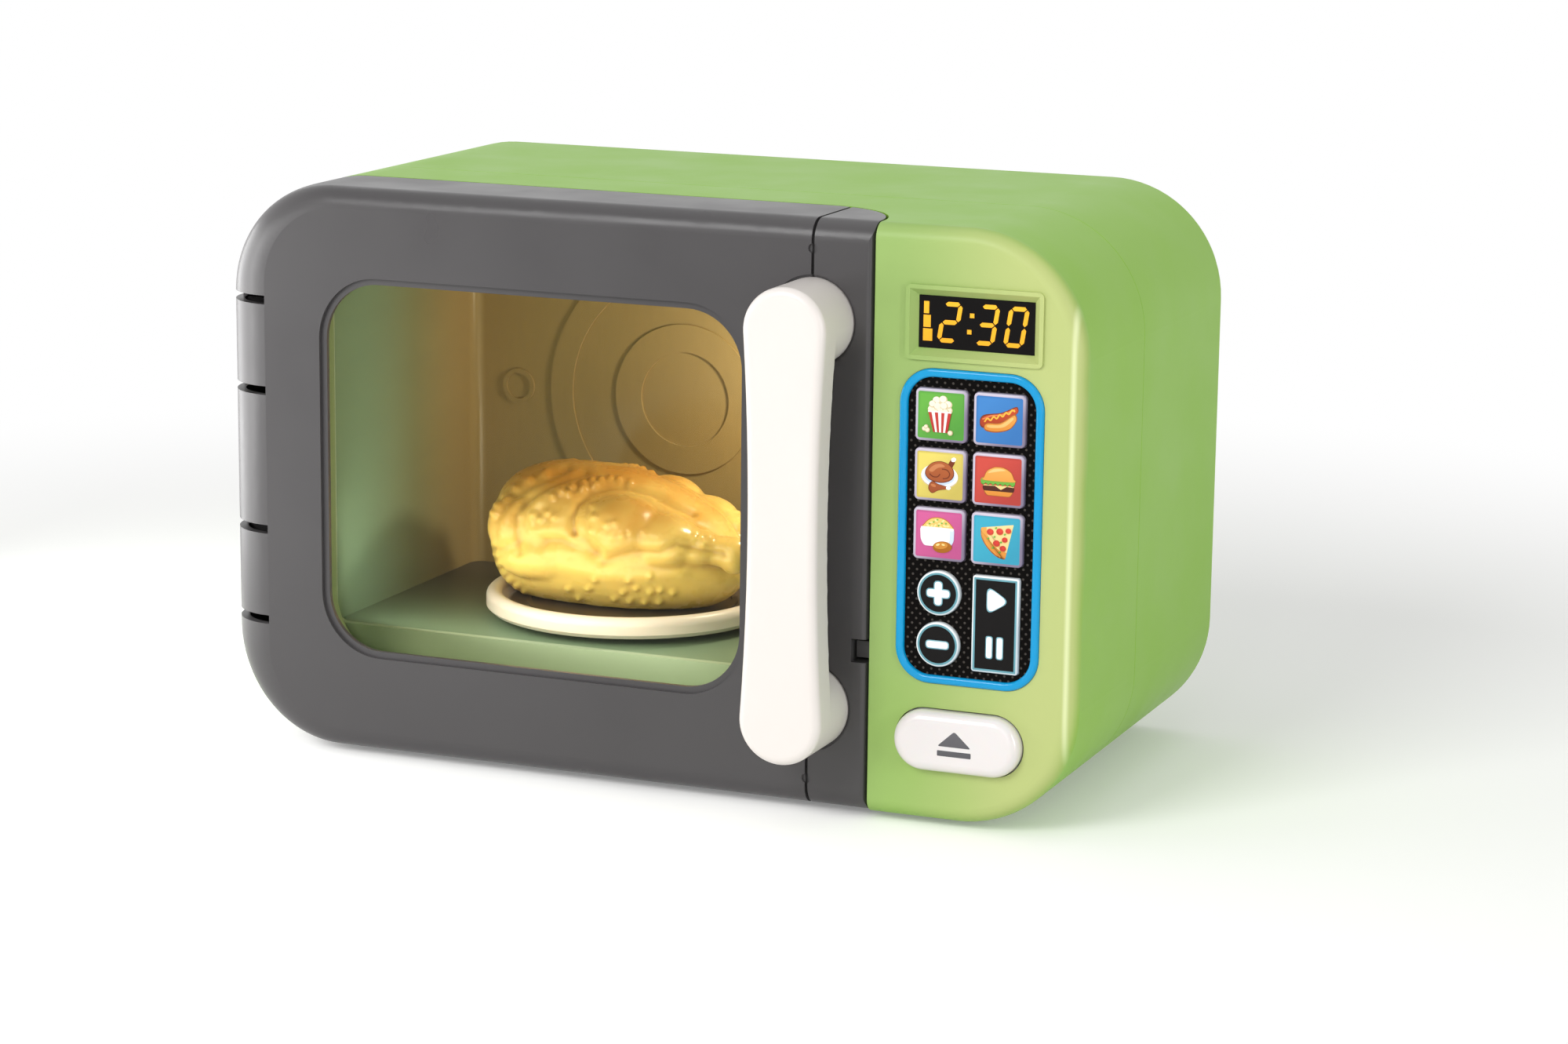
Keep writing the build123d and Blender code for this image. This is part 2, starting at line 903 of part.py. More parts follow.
# Handle screws, driven from inside the door
with BuildPart() as handle_screws:
    for place in boss_places:
        screw(
            place, shell_wall, grip_rear / 2, screw_radius, screw_head_radius, screw_head_height
        )
save(handle_screws, "handle_screws")

# Hinge pins
with BuildPart() as hinge_pins:
    for height in hinge_heights:
        post((hinge_x, hinge_depth), pin_radius, (height - pin_half, height + pin_half))
save(hinge_pins, "hinge_pins")

# Front shell of the housing
bay_depth = door_thickness + door_gap
bulkhead_far = bay_depth + shell_wall
key_hole_inset = keypad_ledge


def bay_outline(grow):
    """Plan of the bay that the door fills, grown by grow into the housing."""
    corner = door_corner_round + door_gap + grow
    right = bay_edge_x + grow
    with BuildLine() as outline:
        Polyline(
            (door_arc_x, door_arc_depth + corner),
            (body_left - overrun, door_arc_depth + corner),
            (body_left - overrun, -overrun),
            (right, -overrun),
            (right, door_arc_depth),
        )
        RadiusArc((right, door_arc_depth), (door_arc_x, door_arc_depth + corner), -corner)
    make_face(outline.edges())


def boss_near(place):
    """Depth at which a housing screw boss starts: behind the board at the side wall."""
    return side_boss_near if place[0] > bay_edge_x else bay_depth + shell_wall / 2


with BuildPart() as front_hollow:
    with BuildSketch(facing(parting_depth + overrun)):
        body_outline(shell_wall)
    extrude(amount=parting_depth + overrun - shell_wall)
    with BuildSketch(level(-overrun)):
        bay_outline(shell_wall)
    extrude(amount=body_height + 2 * overrun, mode=Mode.SUBTRACT)

with BuildPart() as housing_front:
    with BuildSketch(facing(parting_depth)):
        body_outline(0)
    extrude(amount=parting_depth)
    front_face = housing_front.faces().sort_by(Axis.Y)[0]
    fillet(front_face.edges(), panel_round)
    rear_face = housing_front.faces().sort_by(Axis.Y)[-1]
    chamfer(rear_face.edges(), groove_chamfer)
    with BuildSketch(level(-overrun)):
        bay_outline(0)
    extrude(amount=body_height + 2 * overrun, mode=Mode.SUBTRACT)
    add(front_hollow.part, mode=Mode.SUBTRACT)
    for place in housing_screw_places:
        rod(place, housing_boss_radius, (boss_near(place), parting_depth))
    for place in board_screw_places:
        rod(place, board_boss_radius, (shell_wall / 2, board_near))
    for place in button_bracket_screws:
        rod(place, screw_boss_radius, (shell_wall / 2, bracket_plate_near))
    # Step inside the rear edge, for the tongue of the rear shell.
    with BuildSketch(facing(parting_depth + overrun)):
        body_outline(shell_wall / 2)
    extrude(amount=lap_length + overrun, mode=Mode.SUBTRACT)
    for place in housing_screw_places:
        rod(place, housing_boss_radius, (parting_depth - lap_length - overrun, parting_depth))
    # Hinge lugs that reach forward into the door.
    for height in hinge_heights:
        heights = (height - lug_height / 2, height + lug_height / 2)
        block(
            (hinge_x - lug_half_width, hinge_x + lug_half_width),
            (hinge_depth, bulkhead_far),
            heights,
        )
        post((hinge_x, hinge_depth), lug_half_width, heights)
        post((hinge_x, hinge_depth), pin_radius + pin_running_gap, heights, Mode.SUBTRACT)
    # Mouth of the oven.
    with BuildSketch(facing(bulkhead_far + overrun)):
        rounded(cavity_left, cavity_right, cavity_floor, cavity_ceiling, cavity_round)
    extrude(amount=shell_wall + 2 * overrun, mode=Mode.SUBTRACT)
    # Raised display frame with a bevelled opening.
    with BuildSketch(facing(shell_wall / 2)):
        rounded(
            display_left - bezel_width,
            display_right + bezel_width,
            display_bottom - bezel_width,
            display_top + bezel_width,
            bezel_round,
        )
    extrude(amount=shell_wall / 2 + bezel_rise)
    with BuildSketch(facing(shell_wall + overrun)):
        rounded(display_left, display_right, display_bottom, display_top, seat_gap)
    extrude(amount=shell_wall + 2 * overrun, mode=Mode.SUBTRACT)
    with BuildSketch(facing(lens_sink)):
        rounded(display_left, display_right, display_bottom, display_top, seat_gap)
    with BuildSketch(facing(-bezel_rise - seat_gap)):
        rounded(
            display_left - bezel_bevel,
            display_right + bezel_bevel,
            display_bottom - bezel_bevel,
            display_top + bezel_bevel,
            seat_gap,
        )
    loft(mode=Mode.SUBTRACT)
    # Keypad pocket and the hole behind it.
    with BuildSketch(facing(keypad_pocket)):
        rounded(
            keypad_left - seat_gap,
            keypad_right + seat_gap,
            keypad_bottom - seat_gap,
            keypad_top + seat_gap,
            keypad_round + seat_gap,
        )
    extrude(amount=keypad_pocket + overrun, mode=Mode.SUBTRACT)
    with BuildSketch(facing(shell_wall + overrun)):
        rounded(
            keypad_left + key_hole_inset,
            keypad_right - key_hole_inset,
            keypad_bottom + key_hole_inset,
            keypad_top - key_hole_inset,
            keypad_round - key_hole_inset,
        )
    extrude(amount=shell_wall + 2 * overrun, mode=Mode.SUBTRACT)
    with BuildSketch(facing(shell_wall + overrun)):
        with Locations((button_x, button_height_up)):
            SlotOverall(button_width + 2 * button_gap, button_height + 2 * button_gap)
    extrude(amount=shell_wall + 2 * overrun, mode=Mode.SUBTRACT)
    # Slot for the latch tongue in the panel's left wall.
    block(
        (bay_edge_x - overrun, bay_edge_x + shell_wall + seat_gap),
        (tongue_near - slide_gap, tongue_far + slide_gap),
        (notch_bottom + tongue_gap - slide_gap, notch_top - tongue_gap + slide_gap),
        Mode.SUBTRACT,
    )
    for place in housing_screw_places:
        rod(place, housing_screw_radius, (housing_screw_end - overrun, parting_depth), Mode.SUBTRACT)
    for place in board_screw_places:
        rod(place, screw_radius, (shell_wall, board_near), Mode.SUBTRACT)
    for place in button_bracket_screws:
        rod(place, screw_radius, (shell_wall + overrun, bracket_plate_near), Mode.SUBTRACT)
    for x in (-foot_x, foot_x):
        post((x, foot_depths[0]), foot_peg_radius, (-overrun, shell_wall + overrun), Mode.SUBTRACT)
save(housing_front, "housing_front")

# Rear shell of the housing
back_inner = body_depth - shell_wall
cells_width = cell_pitch * (cell_count - 1) + 2 * cell_radius
box_half_width = cells_width / 2 + cell_gap
box_half_height = cell_length / 2 + contact_room
cover_screw_up = box_half_height + box_wall + screw_boss_radius - cover_boss_sink
cover_screw_place = (battery_x, battery_height_up + cover_screw_up)


def battery_outline(grow, radius, tab=0):
    """Rounded rectangle about the battery compartment, higher by tab at its top."""
    rounded(
        battery_x - box_half_width - grow,
        battery_x + box_half_width + grow,
        battery_height_up - box_half_height - grow,
        battery_height_up + box_half_height + grow + tab,
        radius,
    )


cover_grow = box_wall + cover_overlap
cover_tab = 2 * screw_boss_radius - cover_overlap / 2


with BuildPart() as housing_rear:
    with BuildSketch(facing(body_depth)):
        body_outline(0)
    extrude(amount=body_depth - parting_depth)
    back_face = housing_rear.faces().sort_by(Axis.Y)[-1]
    fillet(back_face.edges(), back_round)
    joint_face = housing_rear.faces().sort_by(Axis.Y)[0]
    chamfer(joint_face.edges(), groove_chamfer)
    with BuildSketch(facing(back_inner)):
        body_outline(shell_wall)
    extrude(amount=back_inner - parting_depth + overrun, mode=Mode.SUBTRACT)
    # Tongue that fits inside the front shell.
    with BuildSketch(facing(parting_depth)):
        body_outline(shell_wall / 2 + seat_gap)
        body_outline(shell_wall, Mode.SUBTRACT)
    extrude(amount=lap_length - seat_gap)
    for place in housing_screw_places:
        rod(
            place,
            housing_boss_radius + slide_gap,
            (parting_depth - lap_length, parting_depth),
            Mode.SUBTRACT,
        )
        rod(place, housing_boss_radius, (parting_depth + seat_gap, back_inner + shell_wall / 2))
        rod(place, counterbore_radius, (housing_head_depth, body_depth + overrun), Mode.SUBTRACT)
        rod(place, housing_screw_radius + seat_gap, (parting_depth - overrun, body_depth), Mode.SUBTRACT)
    with BuildSketch(facing(body_depth + overrun)):
        battery_outline(cover_grow + cover_gap, cover_overlap, cover_tab)
    extrude(amount=shell_wall + 2 * overrun, mode=Mode.SUBTRACT)
    # Speaker grille.
    with BuildSketch(facing(body_depth + overrun)):
        with Locations((speaker_x, speaker_height_up)):
            with HexLocations(grille_pitch / 2, 2 * grille_rows - 1, 2 * grille_rows - 1):
                Circle(grille_hole_radius)
        with Locations((speaker_x, speaker_height_up)):
            Circle(speaker_radius - 2 * speaker_rim, mode=Mode.INTERSECT)
    extrude(amount=shell_wall + 2 * overrun, mode=Mode.SUBTRACT)
    # Vents behind the oven.
    with BuildSketch(facing(body_depth + overrun)):
        with Locations((vent_x, vent_height_up)):
            with GridLocations(vent_width, vent_pitch, 1, vent_count):
                SlotOverall(vent_width, vent_height)
    extrude(amount=shell_wall + 2 * overrun, mode=Mode.SUBTRACT)
    # Power switch recess and slot.
    with BuildSketch(facing(body_depth + overrun)):
        with Locations((switch_x, switch_height_up)):
            RectangleRounded(switch_recess_width, switch_recess_height, switch_recess_depth)
    extrude(amount=switch_recess_depth + overrun, mode=Mode.SUBTRACT)
    with BuildSketch(facing(body_depth + overrun)):
        with Locations((switch_x, switch_height_up)):
            Rectangle(switch_slot_width, switch_slot_height)
    extrude(amount=shell_wall + 2 * overrun, mode=Mode.SUBTRACT)
    for x in (-foot_x, foot_x):
        post((x, foot_depths[1]), foot_peg_radius, (-overrun, shell_wall + overrun), Mode.SUBTRACT)
save(housing_rear, "housing_rear")

# Screws that close the housing
with BuildPart() as housing_screws:
    for place in housing_screw_places:
        screw(
            place,
            housing_head_depth,
            housing_screw_end,
            housing_screw_radius,
            housing_screw_head_radius,
            housing_screw_head_height,
        )
save(housing_screws, "housing_screws")

# Rubber feet with a peg through the underside
with BuildPart() as feet:
    for x in (-foot_x, foot_x):
        for depth in foot_depths:
            post((x, depth), foot_radius, (-foot_height, 0))
    chamfer(feet.edges().group_by(Axis.Z)[0], foot_chamfer)
    for x in (-foot_x, foot_x):
        for depth in foot_depths:
            post((x, depth), foot_peg_radius, (0, foot_peg_height))
save(feet, "feet")

# Oven liner: side walls, ceiling and back in one moulding
liner_near = bulkhead_far + seat_gap
liner_left = cavity_left - liner_wall
liner_right = cavity_right + liner_wall
liner_top = cavity_ceiling + liner_wall


def liner_plan(left, right, back, radius):
    """Plan of the oven: square at the mouth and rounded at the two back corners."""
    with BuildLine() as outline:
        Polyline(
            (left, back - radius),
            (left, liner_near),
            (right, liner_near),
            (right, back - radius),
        )
        RadiusArc((right, back - radius), (right - radius, back), -radius)
        Line((right - radius, back), (left + radius, back))
        RadiusArc((left + radius, back), (left, back - radius), -radius)
    make_face(outline.edges())


def liner_flange_plate(bottom, top):
    """Flange behind the mouth of the oven between two heights, kept inside the shell."""
    left = liner_left - liner_flange
    right = liner_right + liner_flange
    with BuildSketch(facing(liner_near + liner_wall)) as section:
        body_outline(shell_wall + 2 * seat_gap)
        with Locations(((left + right) / 2, (bottom + top) / 2)):
            Rectangle(right - left, top - bottom, mode=Mode.INTERSECT)
    extrude(section.sketch, amount=liner_wall)


with BuildPart() as oven_space:
    with BuildSketch(level(cavity_floor - overrun)):
        liner_plan(cavity_left, cavity_right, cavity_back, cavity_round)
    extrude(amount=cavity_ceiling - cavity_floor + overrun)
    with BuildSketch(facing(cavity_back + overrun)):
        rounded(cavity_left, cavity_right, cavity_floor - overrun, cavity_ceiling, cavity_round)
    extrude(amount=cavity_back + overrun, mode=Mode.INTERSECT)

with BuildPart() as cavity_liner:
    with BuildSketch(level(cavity_floor)):
        liner_plan(liner_left, liner_right, cavity_back + liner_wall, cavity_round + liner_wall)
    extrude(amount=liner_top - cavity_floor)
    liner_flange_plate(cavity_floor, liner_top + liner_flange)
    add(oven_space.part, mode=Mode.SUBTRACT)
    # Raised bands on the back wall.
    for inner, outer in ring_bands:
        with BuildSketch(facing(cavity_back)):
            with Locations((ring_x, ring_height)):
                Circle(outer)
                Circle(inner, mode=Mode.SUBTRACT)
        extrude(amount=ring_rise)
    with BuildSketch(facing(cavity_back)):
        with Locations((button_mark_x, ring_height)):
            Circle(button_mark_radii[1])
            Circle(button_mark_radii[0], mode=Mode.SUBTRACT)
    extrude(amount=ring_rise)
    with BuildSketch(side(cavity_right - overrun)):
        with Locations((lamp_depth, lamp_height_up)):
            Circle(lamp_lens_radius + seat_gap)
    extrude(amount=liner_wall + 2 * overrun, mode=Mode.SUBTRACT)
    # Screw holes of the flange.
    liner_screw_places = [
        (x, height)
        for x in (liner_left - liner_flange / 2, liner_right + liner_flange / 2)
        for height in (cavity_floor + 2 * liner_flange, cavity_ceiling - 2 * liner_flange)
    ]
    for place in liner_screw_places:
        rod(place, screw_clear_radius, (bulkhead_far, parting_depth), Mode.SUBTRACT)
save(cavity_liner, "cavity_liner")

# Oven floor, under the liner walls
floor_under = cavity_floor - liner_wall
with BuildPart() as cavity_floor_plate:
    with BuildSketch(level(floor_under)):
        liner_plan(liner_left, liner_right, cavity_back + liner_wall, cavity_round + liner_wall)
    extrude(amount=liner_wall)
    liner_flange_plate(floor_under - liner_flange, cavity_floor)
    post((table_x, table_depth), hub_hole_radius, (0, body_height), Mode.SUBTRACT)
save(cavity_floor_plate, "cavity_floor_plate")

# Screws of the liner flange
liner_screw_seat = liner_near + liner_wall
with BuildPart() as liner_screws:
    for place in liner_screw_places:
        rod(place, screw_radius, (bulkhead_far, liner_screw_seat))
        rod(place, screw_head_radius, (liner_screw_seat, liner_screw_seat + screw_head_height))
save(liner_screws, "liner_screws")

# Lamp and its lens on the right wall of the oven
with BuildPart() as lamp_lens:
    with BuildSketch(side(cavity_right)):
        with Locations((lamp_depth, lamp_height_up)):
            Circle(lamp_lens_radius)
    extrude(amount=liner_wall + seat_gap)
    with BuildSketch(side(liner_right + seat_gap)):
        with Locations((lamp_depth, lamp_height_up)):
            Circle(lamp_lens_radius + lamp_lens_rim)
    extrude(amount=liner_wall)
save(lamp_lens, "lamp_lens")

lamp_near_x = liner_right + liner_wall + 2 * seat_gap
with BuildPart() as oven_lamp:
    with BuildSketch(side(lamp_near_x)):
        with Locations((lamp_depth, lamp_height_up)):
            Circle(lamp_base_radius)
    extrude(amount=liner_wall)
    with BuildSketch(side(lamp_near_x)):
        with Locations((lamp_depth, lamp_height_up)):
            Circle(lamp_radius)
    extrude(amount=lamp_length)
save(oven_lamp, "oven_lamp")

# Turntable plate
rim_top = table_underside + rim_height
table_top = table_underside + table_thickness
with BuildPart() as turntable:
    with BuildSketch(
        Plane(
            origin=(table_x, front_y + table_depth, foot_height),
            x_dir=(1, 0, 0),
            z_dir=(0, -1, 0),
        )
    ):
        with BuildLine():
            Polyline(
                (0, table_top),
                (step_ring_radius, table_top),
                (step_ring_radius, table_top + step_ring_rise),
                (step_ring_radius + step_ring_width, table_top + step_ring_rise),
                (step_ring_radius + step_ring_width, table_top),
                (rim_inner_radius, table_top),
            )
            Line((rim_inner_radius, table_top), (rim_inner_radius + rim_crown / 2, rim_top - rim_crown))
            ThreePointArc(
                (rim_inner_radius + rim_crown / 2, rim_top - rim_crown),
                (table_radius - rim_crown, rim_top),
                (table_radius, rim_top - rim_crown),
            )
            Line((table_radius, rim_top - rim_crown), (table_radius, table_underside + rim_crown / 2))
            Line(
                (table_radius, table_underside + rim_crown / 2),
                (table_radius - rim_crown / 2, table_underside),
            )
            Polyline(
                (table_radius - rim_crown / 2, table_underside),
                (hub_radius, table_underside),
                (hub_radius, cavity_floor + hub_floor_gap),
                (0, cavity_floor + hub_floor_gap),
                (0, table_top),
            )
        make_face()
    revolve(axis=Axis((table_x, front_y + table_depth, 0), (0, 0, 1)))
    with BuildSketch(level(0)):
        with Locations((table_x, table_depth)):
            RegularPolygon(key_radius + seat_gap, 6)
    extrude(amount=key_top + seat_gap, mode=Mode.SUBTRACT)
save(turntable, "turntable")


def gear_outline(teeth, turn):
    """Straight-flanked gear teeth about the local origin, turned by turn degrees."""
    pitch = teeth * gear_module / 2
    tip = pitch + addendum_share * gear_module
    root = pitch - dedendum_share * gear_module
    half = math.pi / 2 / teeth - gear_backlash / (2 * pitch)
    lean = math.tan(math.radians(pressure_angle))
    points = []
    for tooth in range(teeth):
        middle = 2 * math.pi * tooth / teeth + math.radians(turn)
        for radius, sign in ((root, -1), (pitch, -1), (tip, -1), (tip, 1), (pitch, 1), (root, 1)):
            angle = middle + sign * (half - (radius - pitch) * lean / radius)
            points.append((radius * math.cos(angle), radius * math.sin(angle)))
    with BuildLine() as outline:
        Polyline(*points, close=True)
    make_face(outline.edges())


# Drive gear on the turntable's shaft
gear_top = gear_bottom + gear_thickness
bracket_top = bracket_bottom + bracket_thickness
pinion_x = table_x + (gear_teeth + pinion_teeth) * gear_module / 2
with BuildPart() as drive_gear:
    with BuildSketch(
        Plane(
            origin=(table_x, front_y + table_depth, foot_height + gear_bottom),
            x_dir=(1, 0, 0),
            z_dir=(0, 0, 1),
        )
    ):
        gear_outline(gear_teeth, 0)
    extrude(amount=gear_thickness)
    post((table_x, table_depth), gear_hub_radius, (gear_bottom - gear_collar, floor_under - slide_gap))
    post((table_x, table_depth), shaft_radius, (shaft_foot, gear_bottom))
    with BuildSketch(level(gear_top)):
        with Locations((table_x, table_depth)):
            RegularPolygon(key_radius, 6)
    extrude(amount=key_top - gear_top)
save(drive_gear, "drive_gear")

# Pinion on the motor shaft: a gap of the pinion faces a tooth of the gear
with BuildPart() as motor_pinion:
    with BuildSketch(
        Plane(
            origin=(pinion_x, front_y + table_depth, foot_height + gear_bottom),
            x_dir=(1, 0, 0),
            z_dir=(0, 0, 1),
        )
    ):
        gear_outline(pinion_teeth, 180 + 180 / pinion_teeth)
    extrude(amount=gear_thickness)
    post((pinion_x, table_depth), motor_shaft_radius, (bracket_bottom - overrun, gear_top))
save(motor_pinion, "motor_pinion")

with BuildPart() as turntable_motor:
    post((pinion_x, table_depth), motor_radius, (motor_bottom, bracket_bottom))
    fillet(turntable_motor.edges().group_by(Axis.Z)[0], gear_collar)
    post((pinion_x, table_depth), motor_boss_radius, (bracket_bottom, bracket_top))
    post(
        (pinion_x, table_depth),
        motor_shaft_radius + running_gap,
        (bracket_bottom - overrun - seat_gap, bracket_top + overrun),
        Mode.SUBTRACT,
    )
save(turntable_motor, "turntable_motor")

# Bracket that carries the motor and the gear shaft
with BuildPart() as drive_bracket:
    block((bracket_left, bracket_right), (bracket_near, bracket_far), (bracket_bottom, bracket_top))
    for x in (bracket_left + bracket_leg_inset, bracket_right - bracket_leg_inset):
        for depth in (bracket_near + bracket_leg_inset, bracket_far - bracket_leg_inset):
            post((x, depth), bracket_leg_radius, (shell_wall, bracket_bottom))
    post((table_x, table_depth), shaft_radius + running_gap, (0, body_height), Mode.SUBTRACT)
    post((pinion_x, table_depth), motor_boss_radius + seat_gap, (0, body_height), Mode.SUBTRACT)
save(drive_bracket, "drive_bracket")


# Toy roast chicken
def egg(x, spread, height, half_length, half_width):
    """Long rounded form that lies along x, turned about its own middle line."""
    middle = (x, front_y + chicken_depth + spread, foot_height + height)
    with BuildSketch(Plane(origin=middle, x_dir=(1, 0, 0), z_dir=(0, -1, 0))) as section:
        Ellipse(half_length, half_width)
        with Locations((0, -half_width)):
            Rectangle(2 * half_length, 2 * half_width, mode=Mode.SUBTRACT)
    revolve(section.sketch, axis=Axis(middle, (1, 0, 0)))


chicken_base = table_top + step_ring_rise + chicken_lift_gap
with BuildPart() as roast_chicken:
    for x, half_width, half_height, middle in chicken_body:
        with BuildSketch(side(x)):
            with Locations((chicken_depth, middle)):
                Ellipse(half_width, half_height)
    loft()
    for way in (-1, 1):
        egg(thigh_x, way * thigh_spread, thigh_height, thigh_length, thigh_width)
        egg(wing_x, way * wing_spread, wing_height, wing_length, wing_width)
        for x, radius in ((thigh_x, shank_radius_near), (shank_end_x, shank_radius_far)):
            with BuildSketch(side(x)):
                with Locations((chicken_depth + way * shank_spread, shank_height)):
                    Circle(radius)
        loft()
        egg(shank_end_x, way * shank_spread, shank_height, shank_radius_far, knob_radius)
    with BuildSketch(level(chicken_base)):
        with Locations((table_x, table_depth)):
            Rectangle(2 * table_radius + overrun, 2 * table_radius)
    extrude(amount=body_height, mode=Mode.INTERSECT)
save(roast_chicken, "roast_chicken")

# Black keypad plate with a hole for each key
plate_far = keypad_pocket
key_places = [(x, height) for height in key_rows for x in key_columns]
long_key_x = (long_key_left + long_key_right) / 2
long_key_y = (long_key_bottom + long_key_top) / 2
long_key_width = long_key_right - long_key_left
long_key_height = long_key_top - long_key_bottom


def keypad_outline(inset):
    """Outline of the keypad, drawn in by inset."""
    rounded(
        keypad_left + inset,
        keypad_right - inset,
        keypad_bottom + inset,
        keypad_top - inset,
        keypad_round - inset,
    )


with BuildPart() as keypad_plate:
    with BuildSketch(facing(plate_far)):
        keypad_outline(0)
        with Locations(*key_places):
            RectangleRounded(
                key_width + 2 * key_gap, key_height + 2 * key_gap, key_corner, mode=Mode.SUBTRACT
            )
        for name, x, height in round_keys:
            with Locations((x, height)):
                Circle(round_key_radius + key_gap, mode=Mode.SUBTRACT)
        with Locations((long_key_x, long_key_y)):
            RectangleRounded(
                long_key_width + 2 * key_gap,
                long_key_height + 2 * key_gap,
                long_key_corner,
                mode=Mode.SUBTRACT,
            )
    extrude(amount=plate_far - keypad_plate_sink)
save(keypad_plate, "keypad_plate")

# Blue frame round the keypad
with BuildPart() as keypad_frame:
    with BuildSketch(facing(keypad_plate_sink)):
        keypad_outline(0)
        rounded(
            keypad_left + keypad_ring,
            keypad_right - keypad_ring,
            keypad_bottom + keypad_ring,
            keypad_top - keypad_ring,
            keypad_round - keypad_ring,
            mode=Mode.SUBTRACT,
        )
    extrude(amount=keypad_plate_sink + keypad_ring_rise)
    fillet(keypad_frame.faces().sort_by(Axis.Y)[0].edges(), ring_edge_fillet)
save(keypad_frame, "keypad_frame")

# Keys
key_flange_far = key_flange_near + key_flange_thickness


def key_body(place, outline, flange_outline):
    """Key with a proud cap, a flange behind the plate and a stem."""
    with BuildPart() as key:
        with BuildSketch(facing(key_flange_near)):
            with Locations(place):
                outline()
        extrude(amount=key_flange_near + key_rise)
        fillet(key.faces().sort_by(Axis.Y)[0].edges(), key_edge_fillet)
        with BuildSketch(facing(key_flange_far)):
            with Locations(place):
                flange_outline()
        extrude(amount=key_flange_thickness)
        rod(place, key_stem_radius, (key_flange_far, key_stem_end))
    return key


for name, place in zip(key_names, key_places):
    food_key = key_body(
        place,
        lambda: RectangleRounded(key_width, key_height, key_corner),
        lambda: RectangleRounded(key_width + 2 * key_flange, key_height + 2 * key_flange, key_flange_corner),
    )
    save(food_key, name)

for name, x, height in round_keys:
    round_key = key_body(
        (x, height),
        lambda: Circle(round_key_radius),
        lambda: Circle(round_key_radius + key_flange),
    )
    save(round_key, name)

play_key = key_body(
    (long_key_x, long_key_y),
    lambda: RectangleRounded(long_key_width, long_key_height, long_key_corner),
    lambda: RectangleRounded(
        long_key_width + 2 * key_flange, long_key_height + 2 * key_flange, key_flange_corner
    ),
)
save(play_key, "key_play_pause")

# Rubber mat with a dome under each key
mat_near = board_near - mat_thickness
all_key_places = key_places + [(x, height) for name, x, height in round_keys] + [(long_key_x, long_key_y)]
with BuildPart() as keypad_mat:
    block((mat_left, mat_right), (mat_near, board_near), (mat_bottom, mat_top))
    for place in all_key_places:
        rod(place, dome_radius, (mat_near - dome_height, mat_near))
    block(
        (mat_left - overrun, carrier_notch_x),
        (0, board_near + overrun),
        (0, carrier_notch_top),
        Mode.SUBTRACT,
    )
save(keypad_mat, "keypad_mat")

# Circuit board behind the keys
board_far = board_near + board_thickness
with BuildPart() as circuit_board:
    with BuildSketch(facing(board_far)):
        body_outline(shell_wall + board_wall_gap)
        with Locations(((board_left + board_right) / 2, (board_bottom + board_top) / 2)):
            Rectangle(board_right - board_left, board_top - board_bottom, mode=Mode.INTERSECT)
    extrude(amount=board_thickness)
    block(
        (board_left - overrun, carrier_notch_x),
        (0, board_far + overrun),
        (0, carrier_notch_top),
        Mode.SUBTRACT,
    )
    for place in board_screw_places:
        rod(place, screw_clear_radius, (0, board_far + overrun), Mode.SUBTRACT)
save(circuit_board, "circuit_board")

with BuildPart() as board_parts:
    for (x, width, tall, thick), rise_share in zip(chip_sizes, chip_rise_shares):
        height = board_bottom + rise_share * board_height
        block(
            (x - width / 2, x + width / 2),
            (board_far, board_far + thick),
            (height - tall / 2, height + tall / 2),
        )
    for x, rise_share in zip(capacitor_xs, capacitor_rise_shares):
        place = (x, board_bottom + rise_share * board_height)
        rod(place, capacitor_radius, (board_far, board_far + capacitor_height))
save(board_parts, "board_parts")

# Display lens and its digits
with BuildPart() as display_lens:
    with BuildSketch(facing(shell_wall + seat_gap)):
        rounded(
            display_left + seat_gap,
            display_right - seat_gap,
            display_bottom + seat_gap,
            display_top - seat_gap,
            seat_gap,
        )
    extrude(amount=shell_wall + seat_gap - lens_sink)
    with BuildSketch(facing(shell_wall + seat_gap + lens_thickness)):
        rounded(
            display_left - lens_flange,
            display_right + lens_flange,
            display_bottom - lens_flange,
            display_top + lens_flange,
            lens_flange,
        )
    extrude(amount=lens_thickness)
save(display_lens, "display_lens")

half_bar = digit_bar / 2
half_digit = digit_height / 2
# Ends of each bar as shares of the digit's width and height, and if the bar lies flat.
segment_end_shares = {
    "a": ((0, 1), (1, 1), True),
    "b": ((1, 0.5), (1, 1), False),
    "c": ((1, 0), (1, 0.5), False),
    "d": ((0, 0), (1, 0), True),
    "e": ((0, 0), (0, 0.5), False),
    "f": ((0, 0.5), (0, 1), False),
    "g": ((0, 0.5), (1, 0.5), True),
}


def leaned(x, height):
    """Point of the display leaned to the right by its height over the digits' foot."""
    return (x + (height - digit_bottom) * math.tan(math.radians(digit_slant)), height)


